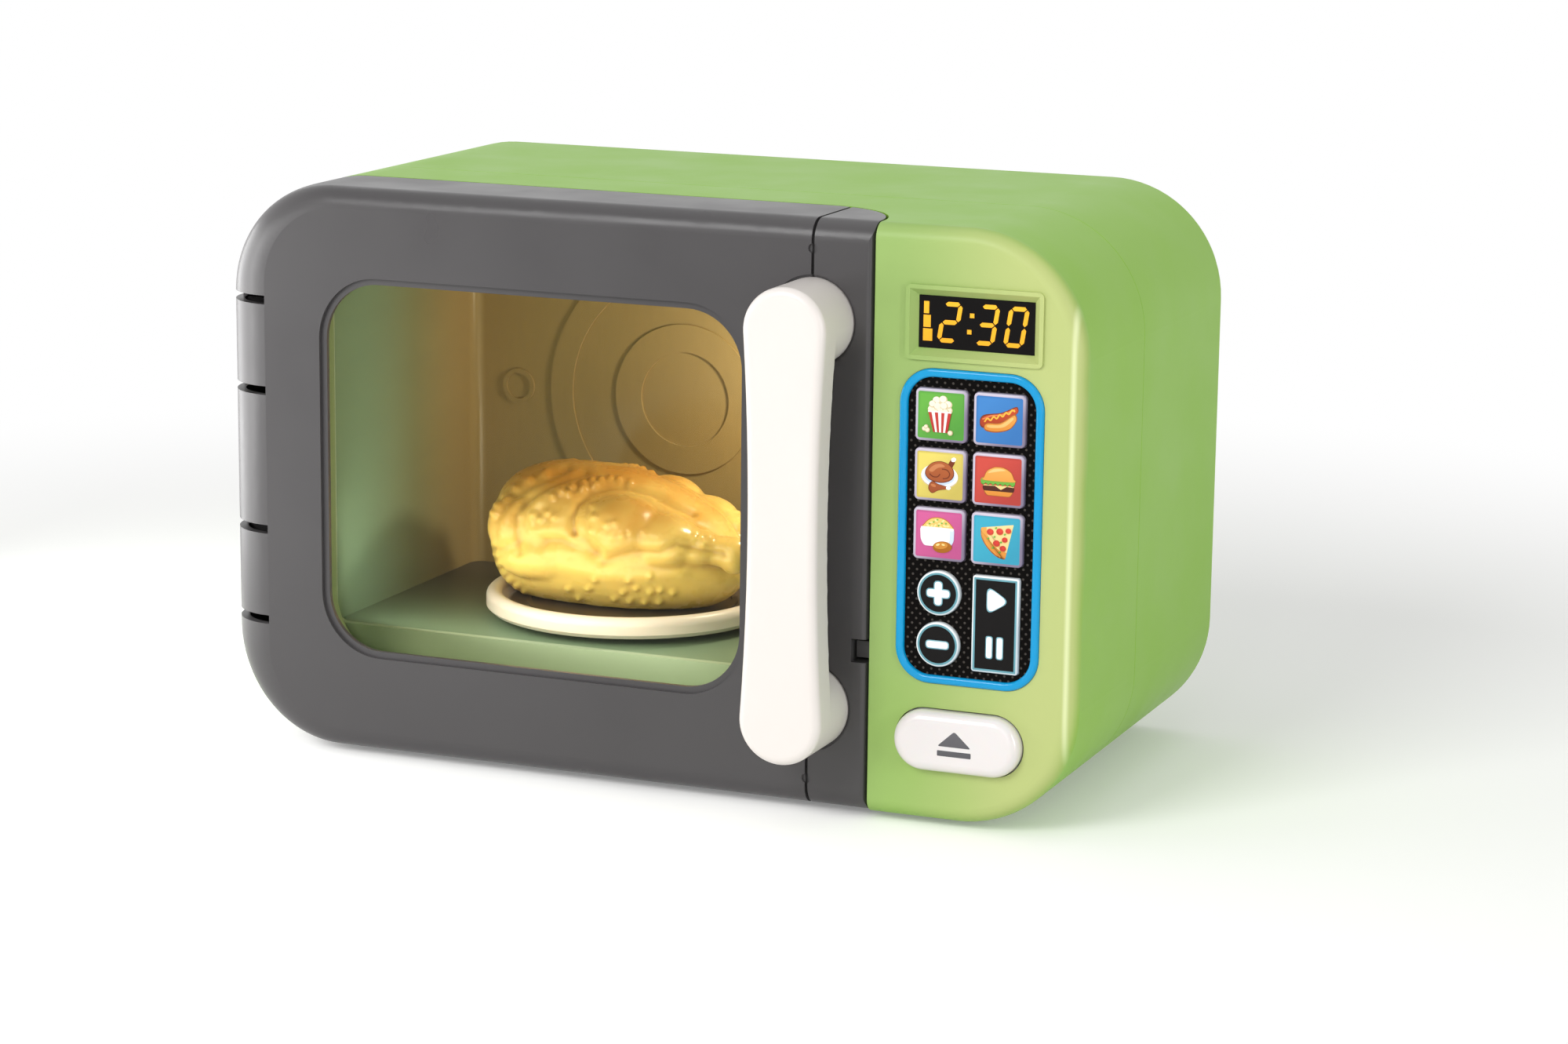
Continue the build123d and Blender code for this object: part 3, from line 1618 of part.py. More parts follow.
def segment(left, letter):
    """One six-sided bar of a digit."""
    start, end, flat = segment_end_shares[letter]
    x0 = left + half_bar + start[0] * (digit_width - digit_bar)
    x1 = left + half_bar + end[0] * (digit_width - digit_bar)
    z0 = digit_bottom + half_bar + start[1] * (digit_height - digit_bar)
    z1 = digit_bottom + half_bar + end[1] * (digit_height - digit_bar)
    if flat:
        x0 += digit_gap
        x1 -= digit_gap
        points = (
            (x0, z0),
            (x0 + half_bar, z0 + half_bar),
            (x1 - half_bar, z0 + half_bar),
            (x1, z0),
            (x1 - half_bar, z0 - half_bar),
            (x0 + half_bar, z0 - half_bar),
        )
    else:
        z0 += digit_gap
        z1 -= digit_gap
        points = (
            (x0, z0),
            (x0 - half_bar, z0 + half_bar),
            (x0 - half_bar, z1 - half_bar),
            (x0, z1),
            (x0 + half_bar, z1 - half_bar),
            (x0 + half_bar, z0 + half_bar),
        )
    with BuildLine() as outline:
        Polyline(*[leaned(x, height) for x, height in points], close=True)
    make_face(outline.edges())


with BuildPart() as display_digits:
    with BuildSketch(facing(lens_sink)):
        for left, letters in zip(digit_lefts, digit_segments):
            for letter in letters:
                segment(left, letter)
        for row, width in enumerate(reversed(one_widths)):
            middle = digit_bottom + (row + 0.5) * digit_height / len(one_widths)
            with Locations((one_x - row * digit_gap, middle)):
                Rectangle(width, one_block_height - digit_gap)
        for share in (0.3, 0.7):
            with Locations(leaned(colon_x, digit_bottom + share * digit_height)):
                Rectangle(digit_bar, digit_bar)
    extrude(amount=digit_thickness)
save(display_digits, "display_digits")

# Open button
with BuildPart() as open_button:
    with BuildSketch(facing(button_flange_far)):
        with Locations((button_x, button_height_up)):
            SlotOverall(button_width, button_height)
    extrude(amount=button_flange_far + button_rise)
    fillet(open_button.faces().sort_by(Axis.Y)[0].edges(), button_fillet)
    with BuildSketch(facing(button_flange_far)):
        with Locations((button_x, button_height_up)):
            SlotOverall(button_width + 2 * button_flange, button_height + 2 * button_flange)
    extrude(amount=button_flange_far - button_flange_near)
    # Stem whose slanted tip drives the latch slider sideways.
    latch_travel = button_travel * latch_ratio
    wedge_far = wedge_near + button_travel
    with BuildSketch(level(stem_bottom)):
        with BuildLine():
            Polyline(
                (stem_left, button_flange_far),
                (stem_right, button_flange_far),
                (stem_right, wedge_near),
                (stem_right - latch_travel, wedge_far),
                (stem_left, wedge_far),
                close=True,
            )
        make_face()
    extrude(amount=stem_top - stem_bottom)
save(open_button, "open_button")

# Latch slider: tongue at the door, carrier behind the board, ramp at the button's stem
tongue_bottom = notch_bottom + tongue_gap
tongue_top = notch_top - tongue_gap
ramp_right = stem_right + wedge_gap
with BuildPart() as latch_slider:
    block(
        (tongue_tip_x, carrier_x + carrier_thickness),
        (tongue_near, tongue_far),
        (tongue_bottom, tongue_top),
    )
    block(
        (carrier_x, carrier_x + carrier_thickness),
        (tongue_near, slider_plate_far),
        (tongue_bottom, tongue_top),
    )
    block(
        (carrier_x, carrier_x + carrier_thickness),
        (carrier_near, slider_plate_far),
        (slider_bottom, tongue_top),
    )
    block((carrier_x, slider_right), (slider_plate_near, slider_plate_far), (slider_bottom, slider_top))
    with BuildSketch(level(stem_bottom)):
        with BuildLine():
            Polyline(
                (ramp_right, wedge_near),
                (ramp_right - latch_travel, wedge_far),
                (ramp_right - latch_travel, slider_plate_near),
                (slider_right, slider_plate_near),
                (slider_right, wedge_near),
                close=True,
            )
        make_face()
    extrude(amount=stem_top - stem_bottom)
save(latch_slider, "latch_slider")

# Bracket behind the slider
bracket_plate_far = bracket_plate_near + bracket_plate_thickness
with BuildPart() as button_bracket:
    with BuildSketch(facing(bracket_plate_far)):
        body_outline(shell_wall + bracket_wall_gap)
        with Locations(
            (
                (button_bracket_left + button_bracket_right) / 2,
                (button_bracket_bottom + button_bracket_top) / 2,
            )
        ):
            Rectangle(
                button_bracket_right - button_bracket_left,
                button_bracket_top - button_bracket_bottom,
                mode=Mode.INTERSECT,
            )
    extrude(amount=bracket_plate_thickness)
    for low in (slider_bottom - slide_gap - rail_height, slider_top + slide_gap):
        block(
            (carrier_notch_x, slider_right + carrier_thickness),
            (slider_plate_near, bracket_plate_near),
            (low, low + rail_height),
        )
    block(
        (spring_tab_x, spring_tab_x + spring_tab_thickness),
        (spring_tab_near, bracket_plate_near),
        (spring_tab_bottom, button_bracket_top),
    )
    for place in button_bracket_screws:
        rod(place, screw_clear_radius, (0, body_depth), Mode.SUBTRACT)
save(button_bracket, "button_bracket")

# Screws inside the control panel: board and bracket
with BuildPart() as panel_screws:
    for place in board_screw_places:
        screw(place, board_far, shell_wall + seat_gap, screw_radius, screw_head_radius, screw_head_height)
    for place in button_bracket_screws:
        screw(
            place,
            bracket_plate_far,
            shell_wall + 2 * overrun,
            screw_radius,
            screw_head_radius,
            screw_head_height,
        )
save(panel_screws, "panel_screws")


def coil(foot, way, length):
    """Coil spring of a given free length from its foot point along a direction."""
    turns_length = length - 2 * spring_wire_radius
    start = Vector(*foot) + Vector(*way) * spring_wire_radius
    with BuildPart() as spring:
        with BuildLine():
            path = Helix(spring_pitch, turns_length, spring_radius, center=start, direction=way)
        with BuildSketch(Plane(origin=path @ 0, z_dir=path % 0)):
            Circle(spring_wire_radius)
        sweep(path=path, is_frenet=True)
    return spring


button_coils = [
    coil(
        (x, front_y + button_flange_far, foot_height + button_spring_height),
        (0, 1, 0),
        bracket_plate_near - button_flange_far,
    )
    for x in button_spring_places
]
with BuildPart() as button_springs:
    for spring in button_coils:
        add(spring.part)
save(button_springs, "button_springs")

latch_spring_near = carrier_x + carrier_thickness
latch_spring = coil(
    (latch_spring_near, front_y + latch_spring_depth, foot_height + latch_spring_height),
    (1, 0, 0),
    spring_tab_x - latch_spring_near,
)
save(latch_spring, "latch_spring")
coil_gap = spring_pitch - 2 * spring_wire_radius
print(f"least gap between spring turns {coil_gap:.2f} mm")

# Speaker on the back wall
speaker_place = (speaker_x, speaker_height_up)
speaker_near = back_inner - speaker_depth
basket_radius = speaker_radius - speaker_rim - speaker_frame_wall
cone_radius = speaker_radius - speaker_rim + speaker_frame_wall / 2
with BuildPart() as speaker_frame:
    rod(speaker_place, speaker_radius, (back_inner - speaker_rim, back_inner))
    with BuildSketch(facing(back_inner - speaker_rim)):
        with Locations(speaker_place):
            Circle(speaker_radius - speaker_rim)
    with BuildSketch(facing(speaker_near + magnet_height)):
        with Locations(speaker_place):
            Circle(magnet_radius)
    loft()
    rod(speaker_place, magnet_radius, (speaker_near, speaker_near + magnet_height))
    with BuildSketch(facing(back_inner - speaker_rim)):
        with Locations(speaker_place):
            Circle(basket_radius)
    with BuildSketch(facing(speaker_near + magnet_height + speaker_frame_wall)):
        with Locations(speaker_place):
            Circle(magnet_radius - speaker_frame_wall)
    loft(mode=Mode.SUBTRACT)
    rod(speaker_place, basket_radius, (back_inner - speaker_rim, back_inner), Mode.SUBTRACT)
    rod(
        speaker_place,
        cone_radius + seat_gap,
        (back_inner - cone_thickness, back_inner),
        Mode.SUBTRACT,
    )
save(speaker_frame, "speaker_frame")

cone_near = speaker_near + magnet_height + 2 * speaker_frame_wall
surround_near = back_inner - cone_thickness
with BuildPart() as speaker_cone:
    with BuildSketch(
        Plane(
            origin=(speaker_x, front_y, foot_height + speaker_height_up),
            x_dir=(0, 1, 0),
            z_dir=(1, 0, 0),
        )
    ):
        with BuildLine():
            Polyline(
                (cone_near, 0),
                (cone_near + cone_thickness, 0),
                (cone_near + cone_thickness, magnet_radius / 2),
                (back_inner, basket_radius - 3 * cone_thickness),
                (back_inner, cone_radius),
                (surround_near, cone_radius),
                (surround_near, basket_radius - 2 * cone_thickness),
                (cone_near, magnet_radius / 2),
                close=True,
            )
        make_face()
    revolve(axis=Axis((speaker_x, front_y, foot_height + speaker_height_up), (0, 1, 0)))
save(speaker_cone, "speaker_cone")

# Battery compartment
box_near = back_inner - box_depth - box_wall
with BuildPart() as battery_box:
    with BuildSketch(facing(back_inner)):
        battery_outline(box_wall, box_wall)
    extrude(amount=back_inner - box_near)
    with BuildSketch(facing(back_inner)):
        battery_outline(cover_grow + cover_gap + cover_overlap, cover_overlap, cover_tab)
    extrude(amount=box_wall)
    with BuildSketch(facing(back_inner + overrun)):
        battery_outline(0, box_wall / 2)
    extrude(amount=box_depth + overrun, mode=Mode.SUBTRACT)
    rod(cover_screw_place, screw_boss_radius, (box_near, back_inner))
    rod(cover_screw_place, screw_radius + seat_gap, (box_near, back_inner + overrun), Mode.SUBTRACT)
save(battery_box, "battery_box")

cell_depth = back_inner - cell_radius - cell_gap
cell_bottom = battery_height_up - cell_length / 2
cell_xs = [battery_x + (index - (cell_count - 1) / 2) * cell_pitch for index in range(cell_count)]
cell_ways = [1 if index % 2 == 0 else -1 for index in range(cell_count)]
with BuildPart() as batteries:
    for x, way in zip(cell_xs, cell_ways):
        shoulder = cell_nub_height if way < 0 else 0
        post(
            (x, cell_depth),
            cell_radius,
            (cell_bottom + shoulder, cell_bottom + shoulder + cell_length - cell_nub_height),
        )
        post((x, cell_depth), cell_nub_radius, (cell_bottom, cell_bottom + cell_length))
save(batteries, "batteries")

contact_near = cell_depth - contact_width / 2
contact_far = cell_depth + contact_width / 2
with BuildPart() as battery_contacts:
    for x, way in zip(cell_xs, cell_ways):
        for end in (-1, 1):
            wall = battery_height_up + end * box_half_height
            plate = sorted((wall, wall - end * contact_thickness))
            block((x - contact_width / 2, x + contact_width / 2), (contact_near, contact_far), plate)
            cell_end = battery_height_up + end * cell_length / 2
            nub = sorted((wall - end * contact_thickness, cell_end + end * seat_gap))
            post((x, cell_depth), cell_nub_radius, nub)
save(battery_contacts, "battery_contacts")

# Battery cover with finger ribs, and its captive screw
with BuildPart() as battery_cover:
    with BuildSketch(facing(body_depth - cover_rib)):
        battery_outline(cover_grow, cover_overlap, cover_tab)
    extrude(amount=body_depth - cover_rib - back_inner)
    for index in range(cover_rib_count):
        height = battery_height_up + (index - (cover_rib_count - 1) / 2) * 3 * cover_rib
        block(
            (battery_x - box_half_width / 2, battery_x + box_half_width / 2),
            (body_depth - cover_rib, body_depth),
            (height - cover_rib / 2, height + cover_rib / 2),
        )
    rod(cover_screw_place, screw_clear_radius, (0, body_depth + overrun), Mode.SUBTRACT)
save(battery_cover, "battery_cover")

with BuildPart() as battery_cover_screw:
    cover_face = body_depth - cover_rib
    rod(cover_screw_place, screw_radius, (back_inner - 2 * screw_boss_radius, cover_face))
    rod(cover_screw_place, screw_head_radius, (cover_face, cover_face + cover_rib))
    slot = screw_head_radius * slot_share
    x, height = cover_screw_place
    block(
        (x - slot / 2, x + slot / 2),
        (cover_face + cover_rib / 2, body_depth),
        (height - screw_head_radius / 2, height + screw_head_radius / 2),
        Mode.SUBTRACT,
    )
save(battery_cover_screw, "battery_cover_screw")

# Power switch: body inside the back wall and a knob in the slot
knob_x = switch_x - switch_travel / 2
recess_floor = body_depth - switch_recess_depth
switch_far = recess_floor - (shell_wall - switch_recess_depth)
switch_tray = switch_body_depth / 2
with BuildPart() as switch_body:
    block(
        (switch_x - switch_body_width / 2, switch_x + switch_body_width / 2),
        (switch_far - switch_body_depth, switch_far),
        (switch_height_up - switch_body_height / 2, switch_height_up + switch_body_height / 2),
    )
    block(
        (
            knob_x - switch_knob_width / 2 - slide_gap,
            knob_x + switch_knob_width / 2 + switch_travel + slide_gap,
        ),
        (switch_far - switch_tray, switch_far + overrun),
        (
            switch_height_up - switch_knob_height / 2 - slide_gap,
            switch_height_up + switch_knob_height / 2 + slide_gap,
        ),
        Mode.SUBTRACT,
    )
save(switch_body, "switch_body")

with BuildPart() as power_switch:
    block(
        (knob_x - switch_knob_width / 2, knob_x + switch_knob_width / 2),
        (switch_far - switch_tray + slide_gap, body_depth - slide_gap),
        (switch_height_up - switch_knob_height / 2, switch_height_up + switch_knob_height / 2),
    )
    chamfer(power_switch.faces().sort_by(Axis.Y)[-1].edges(), groove_chamfer)
save(power_switch, "power_switch")
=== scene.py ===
"""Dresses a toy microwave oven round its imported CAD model: finishes, key pictures, roast and studio."""

import json
import logging
import math
from collections.abc import Callable
from dataclasses import dataclass
from enum import Enum

import bmesh
import bpy
import numpy as np
from mathutils import Matrix, Vector

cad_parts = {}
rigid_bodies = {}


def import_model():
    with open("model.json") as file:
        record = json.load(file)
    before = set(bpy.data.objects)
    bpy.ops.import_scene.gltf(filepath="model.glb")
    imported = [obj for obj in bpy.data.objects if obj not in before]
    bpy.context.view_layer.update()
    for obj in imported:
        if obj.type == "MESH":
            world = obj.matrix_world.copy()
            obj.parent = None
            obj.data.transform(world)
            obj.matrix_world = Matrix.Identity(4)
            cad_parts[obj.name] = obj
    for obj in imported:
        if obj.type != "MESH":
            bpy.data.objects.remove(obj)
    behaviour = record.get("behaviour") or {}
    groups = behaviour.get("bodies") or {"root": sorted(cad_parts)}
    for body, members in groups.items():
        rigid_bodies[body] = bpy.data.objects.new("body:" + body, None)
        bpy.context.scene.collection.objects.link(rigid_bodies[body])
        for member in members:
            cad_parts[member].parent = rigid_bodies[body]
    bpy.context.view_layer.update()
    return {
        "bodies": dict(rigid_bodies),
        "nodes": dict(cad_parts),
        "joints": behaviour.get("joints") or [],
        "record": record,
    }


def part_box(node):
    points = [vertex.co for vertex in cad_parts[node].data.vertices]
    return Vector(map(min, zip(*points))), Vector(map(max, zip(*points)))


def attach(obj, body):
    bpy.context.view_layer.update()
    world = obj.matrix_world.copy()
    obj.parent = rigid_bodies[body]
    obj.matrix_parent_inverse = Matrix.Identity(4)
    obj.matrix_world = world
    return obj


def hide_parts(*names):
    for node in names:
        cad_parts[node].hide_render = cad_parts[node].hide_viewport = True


MM = 0.001
PANEL_FRONT = -56.25  # where the panel's front face lies across the frame's depth, in millimetres
FOOT = 2.0  # the underside stands this high over the floor, in millimetres
MIX_FACTOR, MIX_A, MIX_B = 0, 6, 7  # the mixing node's inputs for two colours
NOISE_LOW, NOISE_HIGH = 0.3, 0.7  # the noise rarely leaves this range
ABS_IOR = 1.53
ACRYLIC_IOR = 1.49
LACQUER_IOR = 1.5
PEARL_IOR = 1.5
VINYL_IOR = 1.52

Socket = bpy.types.NodeSocket
Tree = bpy.types.NodeTree
Pair = tuple[float, float]
Triple = tuple[float, float, float]
Outline = list[Pair]

log = logging.getLogger("toy_microwave")


def at(x: float, depth: float, height: float) -> Vector:
    """Gives the frame's point for a place measured on the toy.

    Args:
        x: Millimetres to the right of the middle.
        depth: Millimetres behind the front face of the control panel.
        height: Millimetres over the underside of the housing.

    Returns:
        The point in metres, in the frame that the CAD nodes share.
    """
    return Vector((x, depth + PANEL_FRONT, height + FOOT)) * MM


def linear(code: str) -> tuple[float, float, float, float]:
    """Turns an sRGB hex colour into linear light.

    Args:
        code: The colour as "#rrggbb".

    Returns:
        Red, green, blue and alpha for a shader socket.
    """
    parts = [int(code[i:i + 2], 16) / 255 for i in (1, 3, 5)]
    red, green, blue = [c / 12.92 if c <= 0.04045 else ((c + 0.055) / 1.055) ** 2.4 for c in parts]
    return (red, green, blue, 1.0)


def add_node(tree: Tree, kind: str, inputs: dict | None = None, **settings: object) -> Socket | None:
    """Adds one shader node with its settings, values and links.

    Args:
        tree: The node tree that gets the node.
        kind: Blender's name for the kind of node, after "ShaderNode".
        inputs: A value or a socket to link, for each input by its name or number.
        settings: The node's own properties.

    Returns:
        The first output that the settings leave in use, if the node has one.
    """
    node = tree.nodes.new("ShaderNode" + kind)
    for name, value in settings.items():
        setattr(node, name, value)
    for key, value in (inputs or {}).items():
        if isinstance(value, Socket):
            tree.links.new(value, node.inputs[key])
        else:
            node.inputs[key].default_value = value
    return next((output for output in node.outputs if output.enabled), None)


# Finishes


@dataclass(frozen=True)
class Finish:
    """What every finish has: a name, and a shader that its own class describes."""

    name: str

    def material(self) -> bpy.types.Material:
        """Gives the Blender material, which is made the first time it is asked for.

        Returns:
            The node-based material of this finish.
        """
        known = bpy.data.materials.get(self.name)
        if known is not None:
            return known
        material = bpy.data.materials.new(self.name)
        material.use_nodes = True
        tree = material.node_tree
        tree.nodes.clear()
        place = add_node(tree, "TexCoord").node.outputs["Object"]
        add_node(tree, "OutputMaterial", {"Surface": self.shade(tree, place)})
        return material

    def shade(self, tree: Tree, place: Socket) -> Socket:
        """Builds the shader.

        Args:
            tree: The material's node tree.
            place: The point on the piece, in metres.

        Returns:
            The socket that gives the surface.
        """
        raise NotImplementedError

    def blotches(self, tree: Tree, place: Socket, size: float, low: float, high: float) -> Socket:
        """Gives a slow, soft variation over the surface.

        Args:
            tree: The material's node tree.
            place: The point on the piece.
            size: Millimetres across one blotch.
            low: The value where the blotch is weakest.
            high: The value where it is strongest.

        Returns:
            A socket that runs between low and high.
        """
        cloud = add_node(tree, "TexNoise", {"Vector": place, "Scale": 1 / (size * MM), "Detail": 3.0})
        return add_node(tree, "MapRange", {"Value": cloud, 1: NOISE_LOW, 2: NOISE_HIGH, 3: low, 4: high})

    def grain(self, tree: Tree, place: Socket, spacing: float, height: float) -> Socket:
        """Raises the fine grain that a mould, a brush or a grit leaves.

        Args:
            tree: The material's node tree.
            place: The point on the piece, stretched where the grain is drawn out.
            spacing: Millimetres from one grain to the next.
            height: Millimetres from the bottom of the grain to its top.

        Returns:
            The normal socket.
        """
        cloud = add_node(tree, "TexNoise", {"Vector": place, "Scale": 1 / (spacing * MM), "Detail": 2.0})
        return add_node(tree, "Bump", {"Height": cloud, "Distance": height * MM, "Strength": 1.0})

    def between(self, tree: Tree, factor: Socket, first: str | Socket, second: str | Socket) -> Socket:
        """Mixes two colours.

        Args:
            tree: The material's node tree.
            factor: Where 0 is the first colour and 1 the second.
            first: A hex colour or a colour socket.
            second: A hex colour or a colour socket.

        Returns:
            The colour socket.
        """
        pair = [linear(c) if isinstance(c, str) else c for c in (first, second)]
        return add_node(tree, "Mix", {MIX_FACTOR: factor, MIX_A: pair[0], MIX_B: pair[1]}, data_type="RGBA")

    def through(self, tree: Tree, share: Socket, colours: tuple[str, str, str], turn: float) -> Socket:
        """Runs through three colours.

        Args:
            tree: The material's node tree.
            share: Where 0 is the first colour and 1 the last.
            colours: The three hex colours.
            turn: The share at which the second colour stands.

        Returns:
            The colour socket.
        """
        colour = add_node(tree, "ValToRGB", {"Fac": share})
        steps = colour.node.color_ramp.elements
        steps[0].color, steps[1].color = linear(colours[0]), linear(colours[2])
        steps.new(turn).color = linear(colours[1])
        return colour


@dataclass(frozen=True)
class MouldedPlastic(Finish):
    """Injection-moulded plastic: a body colour, a satin or polished skin, and the melt's faint flow."""

    colour: str
    flow_colour: str
    roughness: float = 0.38
    roughness_spread: float = 0.05
    ior: float = ABS_IOR
    # The tool's grain is some 0.1 mm wide. It is drawn coarser here, so that it shows.
    grain_spacing: float = 0.9
    grain_height: float = 0.004
    flow_size: float = 45.0
    soft_depth: float = 0.0
    soft_share: float = 0.12
    clear_coat: float = 0.0
    coat_roughness: float = 0.05
    gloss: float = 0.5

    def shade(self, tree: Tree, place: Socket) -> Socket:
        """Builds the plastic's shader from its flow, its skin and its grain."""
        flow = self.blotches(tree, place, self.flow_size, 0.0, 1.0)
        low, high = self.roughness - self.roughness_spread, self.roughness + self.roughness_spread
        shader = {
            "Base Color": self.between(tree, flow, self.colour, self.flow_colour),
            "Roughness": self.blotches(tree, place, self.flow_size / 3, low, high),
            "IOR": self.ior,
            "Normal": self.grain(tree, place, self.grain_spacing, self.grain_height),
            "Specular IOR Level": self.gloss,
            "Coat Weight": self.clear_coat,
            "Coat Roughness": self.coat_roughness,
        }
        if self.soft_depth:
            shader["Subsurface Weight"] = self.soft_share
            shader["Subsurface Scale"] = self.soft_depth * MM
        return add_node(tree, "BsdfPrincipled", shader)


@dataclass(frozen=True)
class ShellPlastic(Finish):
    """Moulded shell: deeper green on the sides, with a painted yellow sheen and a painted highlight line on
    the front.
    """

    # Painted sheen: the front's colours at its left and right, paler and yellower than the body colour.
    left_sheen_colour: str
    right_sheen_colour: str
    side_colour: str
    well_colour: str
    # The colour of the painted highlight line along the rounding at the front's right.
    line_colour: str
    left_x: float
    right_x: float
    far_depth: float
    highlight_x: float
    highlight_width: float
    well_middle: Triple
    well_half: Triple
    wander_size: float = 60.0
    wander: float = 1.5
    roughness: float = 0.4
    roughness_spread: float = 0.04
    patch_size: float = 25.0
    gloss: float = 0.2
    fine_grain: Pair = (0.9, 0.004)

    def shade(self, tree: Tree, place: Socket) -> Socket:
        """Builds the shell's shader: the front's painted sheen and highlight line fade into the side colour
        behind the front face.
        """
        wander = self.blotches(tree, place, self.wander_size, -self.wander * MM, self.wander * MM)
        across = add_node(tree, "SeparateXYZ", {"Vector": place}).node.outputs
        drift = add_node(tree, "Math", {0: across["Y"], 1: wander}, operation="ADD")
        # Painted highlight: a pale line on the rounding at the front's right.
        line = add_node(tree, "Math", {0: across["X"], 1: self.highlight_x * MM}, operation="SUBTRACT")
        aside = add_node(tree, "Math", {0: line}, operation="ABSOLUTE")
        fades = (
            (drift, PANEL_FRONT, PANEL_FRONT + self.far_depth, 0.0, 1.0),
            (across["X"], self.left_x, self.right_x, 0.0, 1.0),
            (aside, 0.0, self.highlight_width, 1.0, 0.0),
        )
        depth, right, highlight_band = [
            add_node(
                tree, "MapRange", {"Value": value, 1: start * MM, 2: end * MM, 3: low, 4: high},
                interpolation_type="SMOOTHSTEP",
            )
            for value, start, end, low, high in fades
        ]
        # Painted sheen across the front, then the painted highlight line, then the body colour behind the
        # front.
        front = self.between(tree, right, self.left_sheen_colour, self.right_sheen_colour)
        lined = self.between(tree, highlight_band, front, self.line_colour)
        outside = self.between(tree, depth, lined, self.side_colour)
        low, high = self.roughness - self.roughness_spread, self.roughness + self.roughness_spread
        shader = {
            "Base Color": self.between(tree, self.within_well(tree, place), outside, self.well_colour),
            "Roughness": self.blotches(tree, place, self.patch_size, low, high),
            "IOR": ABS_IOR,
            "Specular IOR Level": self.gloss,
            "Normal": self.grain(tree, place, *self.fine_grain),
        }
        return add_node(tree, "BsdfPrincipled", shader)

    def within_well(self, tree: Tree, place: Socket) -> Socket:
        """Marks the edges of the oven's opening, which get a paler, greyer colour.

        Args:
            tree: The material's node tree.
            place: The point on the piece.

        Returns:
            A socket that is 1 inside the opening.
        """
        half = Vector(self.well_half) * MM
        away = add_node(tree, "VectorMath", {0: place, 1: at(*self.well_middle)}, operation="SUBTRACT")
        folded = add_node(tree, "VectorMath", {0: away}, operation="ABSOLUTE")
        room = add_node(tree, "VectorMath", {0: half, 1: folded}, operation="SUBTRACT")
        parts = add_node(tree, "SeparateXYZ", {"Vector": room}).node.outputs
        flat = add_node(tree, "Math", {0: parts["X"], 1: parts["Y"]}, operation="MINIMUM")
        least = add_node(tree, "Math", {0: flat, 1: parts["Z"]}, operation="MINIMUM")
        return add_node(tree, "Math", {0: least, 1: 0.0}, operation="GREATER_THAN")


@dataclass(frozen=True)
class OvenPaint(Finish):
    """Moulded oven wall, brushed, fading from green at the door to bronze at the back: partly its own
    colour, partly painted lamp glow and painted shade.
    """

    door_colour: str
    middle_colour: str
    back_colour: str
    near_depth: float
    far_depth: float
    roughness: float = 0.42
    streak_spacing: float = 1.4
    streak_height: float = 0.004
    streak_stretch: Triple = (1.0, 0.04, 0.12)
    streak_tone: float = 0.03

    def shade(self, tree: Tree, place: Socket) -> Socket:
        """Builds the paint's shader: a fade over the depth of the oven, with drawn-out streaks."""
        across = add_node(tree, "SeparateXYZ", {"Vector": place}).node.outputs
        near, far = [(depth + PANEL_FRONT) * MM for depth in (self.near_depth, self.far_depth)]
        fade = {"Value": across["Y"], 1: near, 2: far}
        depth = add_node(tree, "MapRange", fade, interpolation_type="SMOOTHSTEP")
        # Partly painted light: the warm bronze at the back stands in for the oven lamp's glow, and the
        # darkening for shade.
        colour_fade = self.through(tree, depth, (self.door_colour, self.middle_colour, self.back_colour), 0.5)
        stretched = add_node(tree, "VectorMath", {0: place, 1: self.streak_stretch}, operation="MULTIPLY")
        low, high = 1 - self.streak_tone, 1 + self.streak_tone
        streaks = self.blotches(tree, stretched, self.streak_spacing, low, high)
        shader = {
            "Base Color": add_node(tree, "VectorMath", {0: colour_fade, 1: streaks}, operation="MULTIPLY"),
            "Roughness": self.roughness,
            "IOR": ACRYLIC_IOR,
            "Normal": self.grain(tree, stretched, self.streak_spacing, self.streak_height),
        }
        return add_node(tree, "BsdfPrincipled", shader)


@dataclass(frozen=True)
class ClearSheet(Finish):
    """Clear moulded sheet: lets light through with a slight tint and mirrors the room where seen aslant."""

    tint: str
    ior: float = ACRYLIC_IOR
    roughness: float = 0.04
    haze_share: float = 0.3
    haze_size: float = 30.0

    def shade(self, tree: Tree, place: Socket) -> Socket:
        """Builds the sheet from a tinted see-through part and a polished skin."""
        through = add_node(tree, "BsdfTransparent", {"Color": linear(self.tint)})
        low, high = self.roughness * (1 - self.haze_share), self.roughness * (1 + self.haze_share)
        haze = self.blotches(tree, place, self.haze_size, low, high)
        skin = add_node(tree, "BsdfGlossy", {"Roughness": haze, "Color": linear("#ffffff")})
        edge = add_node(tree, "Fresnel", {"IOR": self.ior})
        return add_node(tree, "MixShader", {0: edge, 1: through, 2: skin})


@dataclass(frozen=True)
class Metal(Finish):
    """Bare or plated metal, with the marks of how it was worked."""

    colour: str
    roughness: float
    # Turned and brushed marks are under 0.1 mm apart. They are drawn coarser, so that they show.
    mark_spacing: float
    mark_height: float
    mark_stretch: Triple = (1.0, 1.0, 1.0)
    brightest: float = 0.8
    dullest: float = 1.25

    def shade(self, tree: Tree, place: Socket) -> Socket:
        """Builds the metal's shader, with its marks drawn out along the working direction."""
        marks = add_node(tree, "VectorMath", {0: place, 1: self.mark_stretch}, operation="MULTIPLY")
        low, high = self.roughness * self.brightest, self.roughness * self.dullest
        shader = {
            "Base Color": linear(self.colour),
            "Metallic": 1.0,
            "Roughness": self.blotches(tree, marks, self.mark_spacing * 4, low, high),
            "Normal": self.grain(tree, marks, self.mark_spacing, self.mark_height),
        }
        return add_node(tree, "BsdfPrincipled", shader)


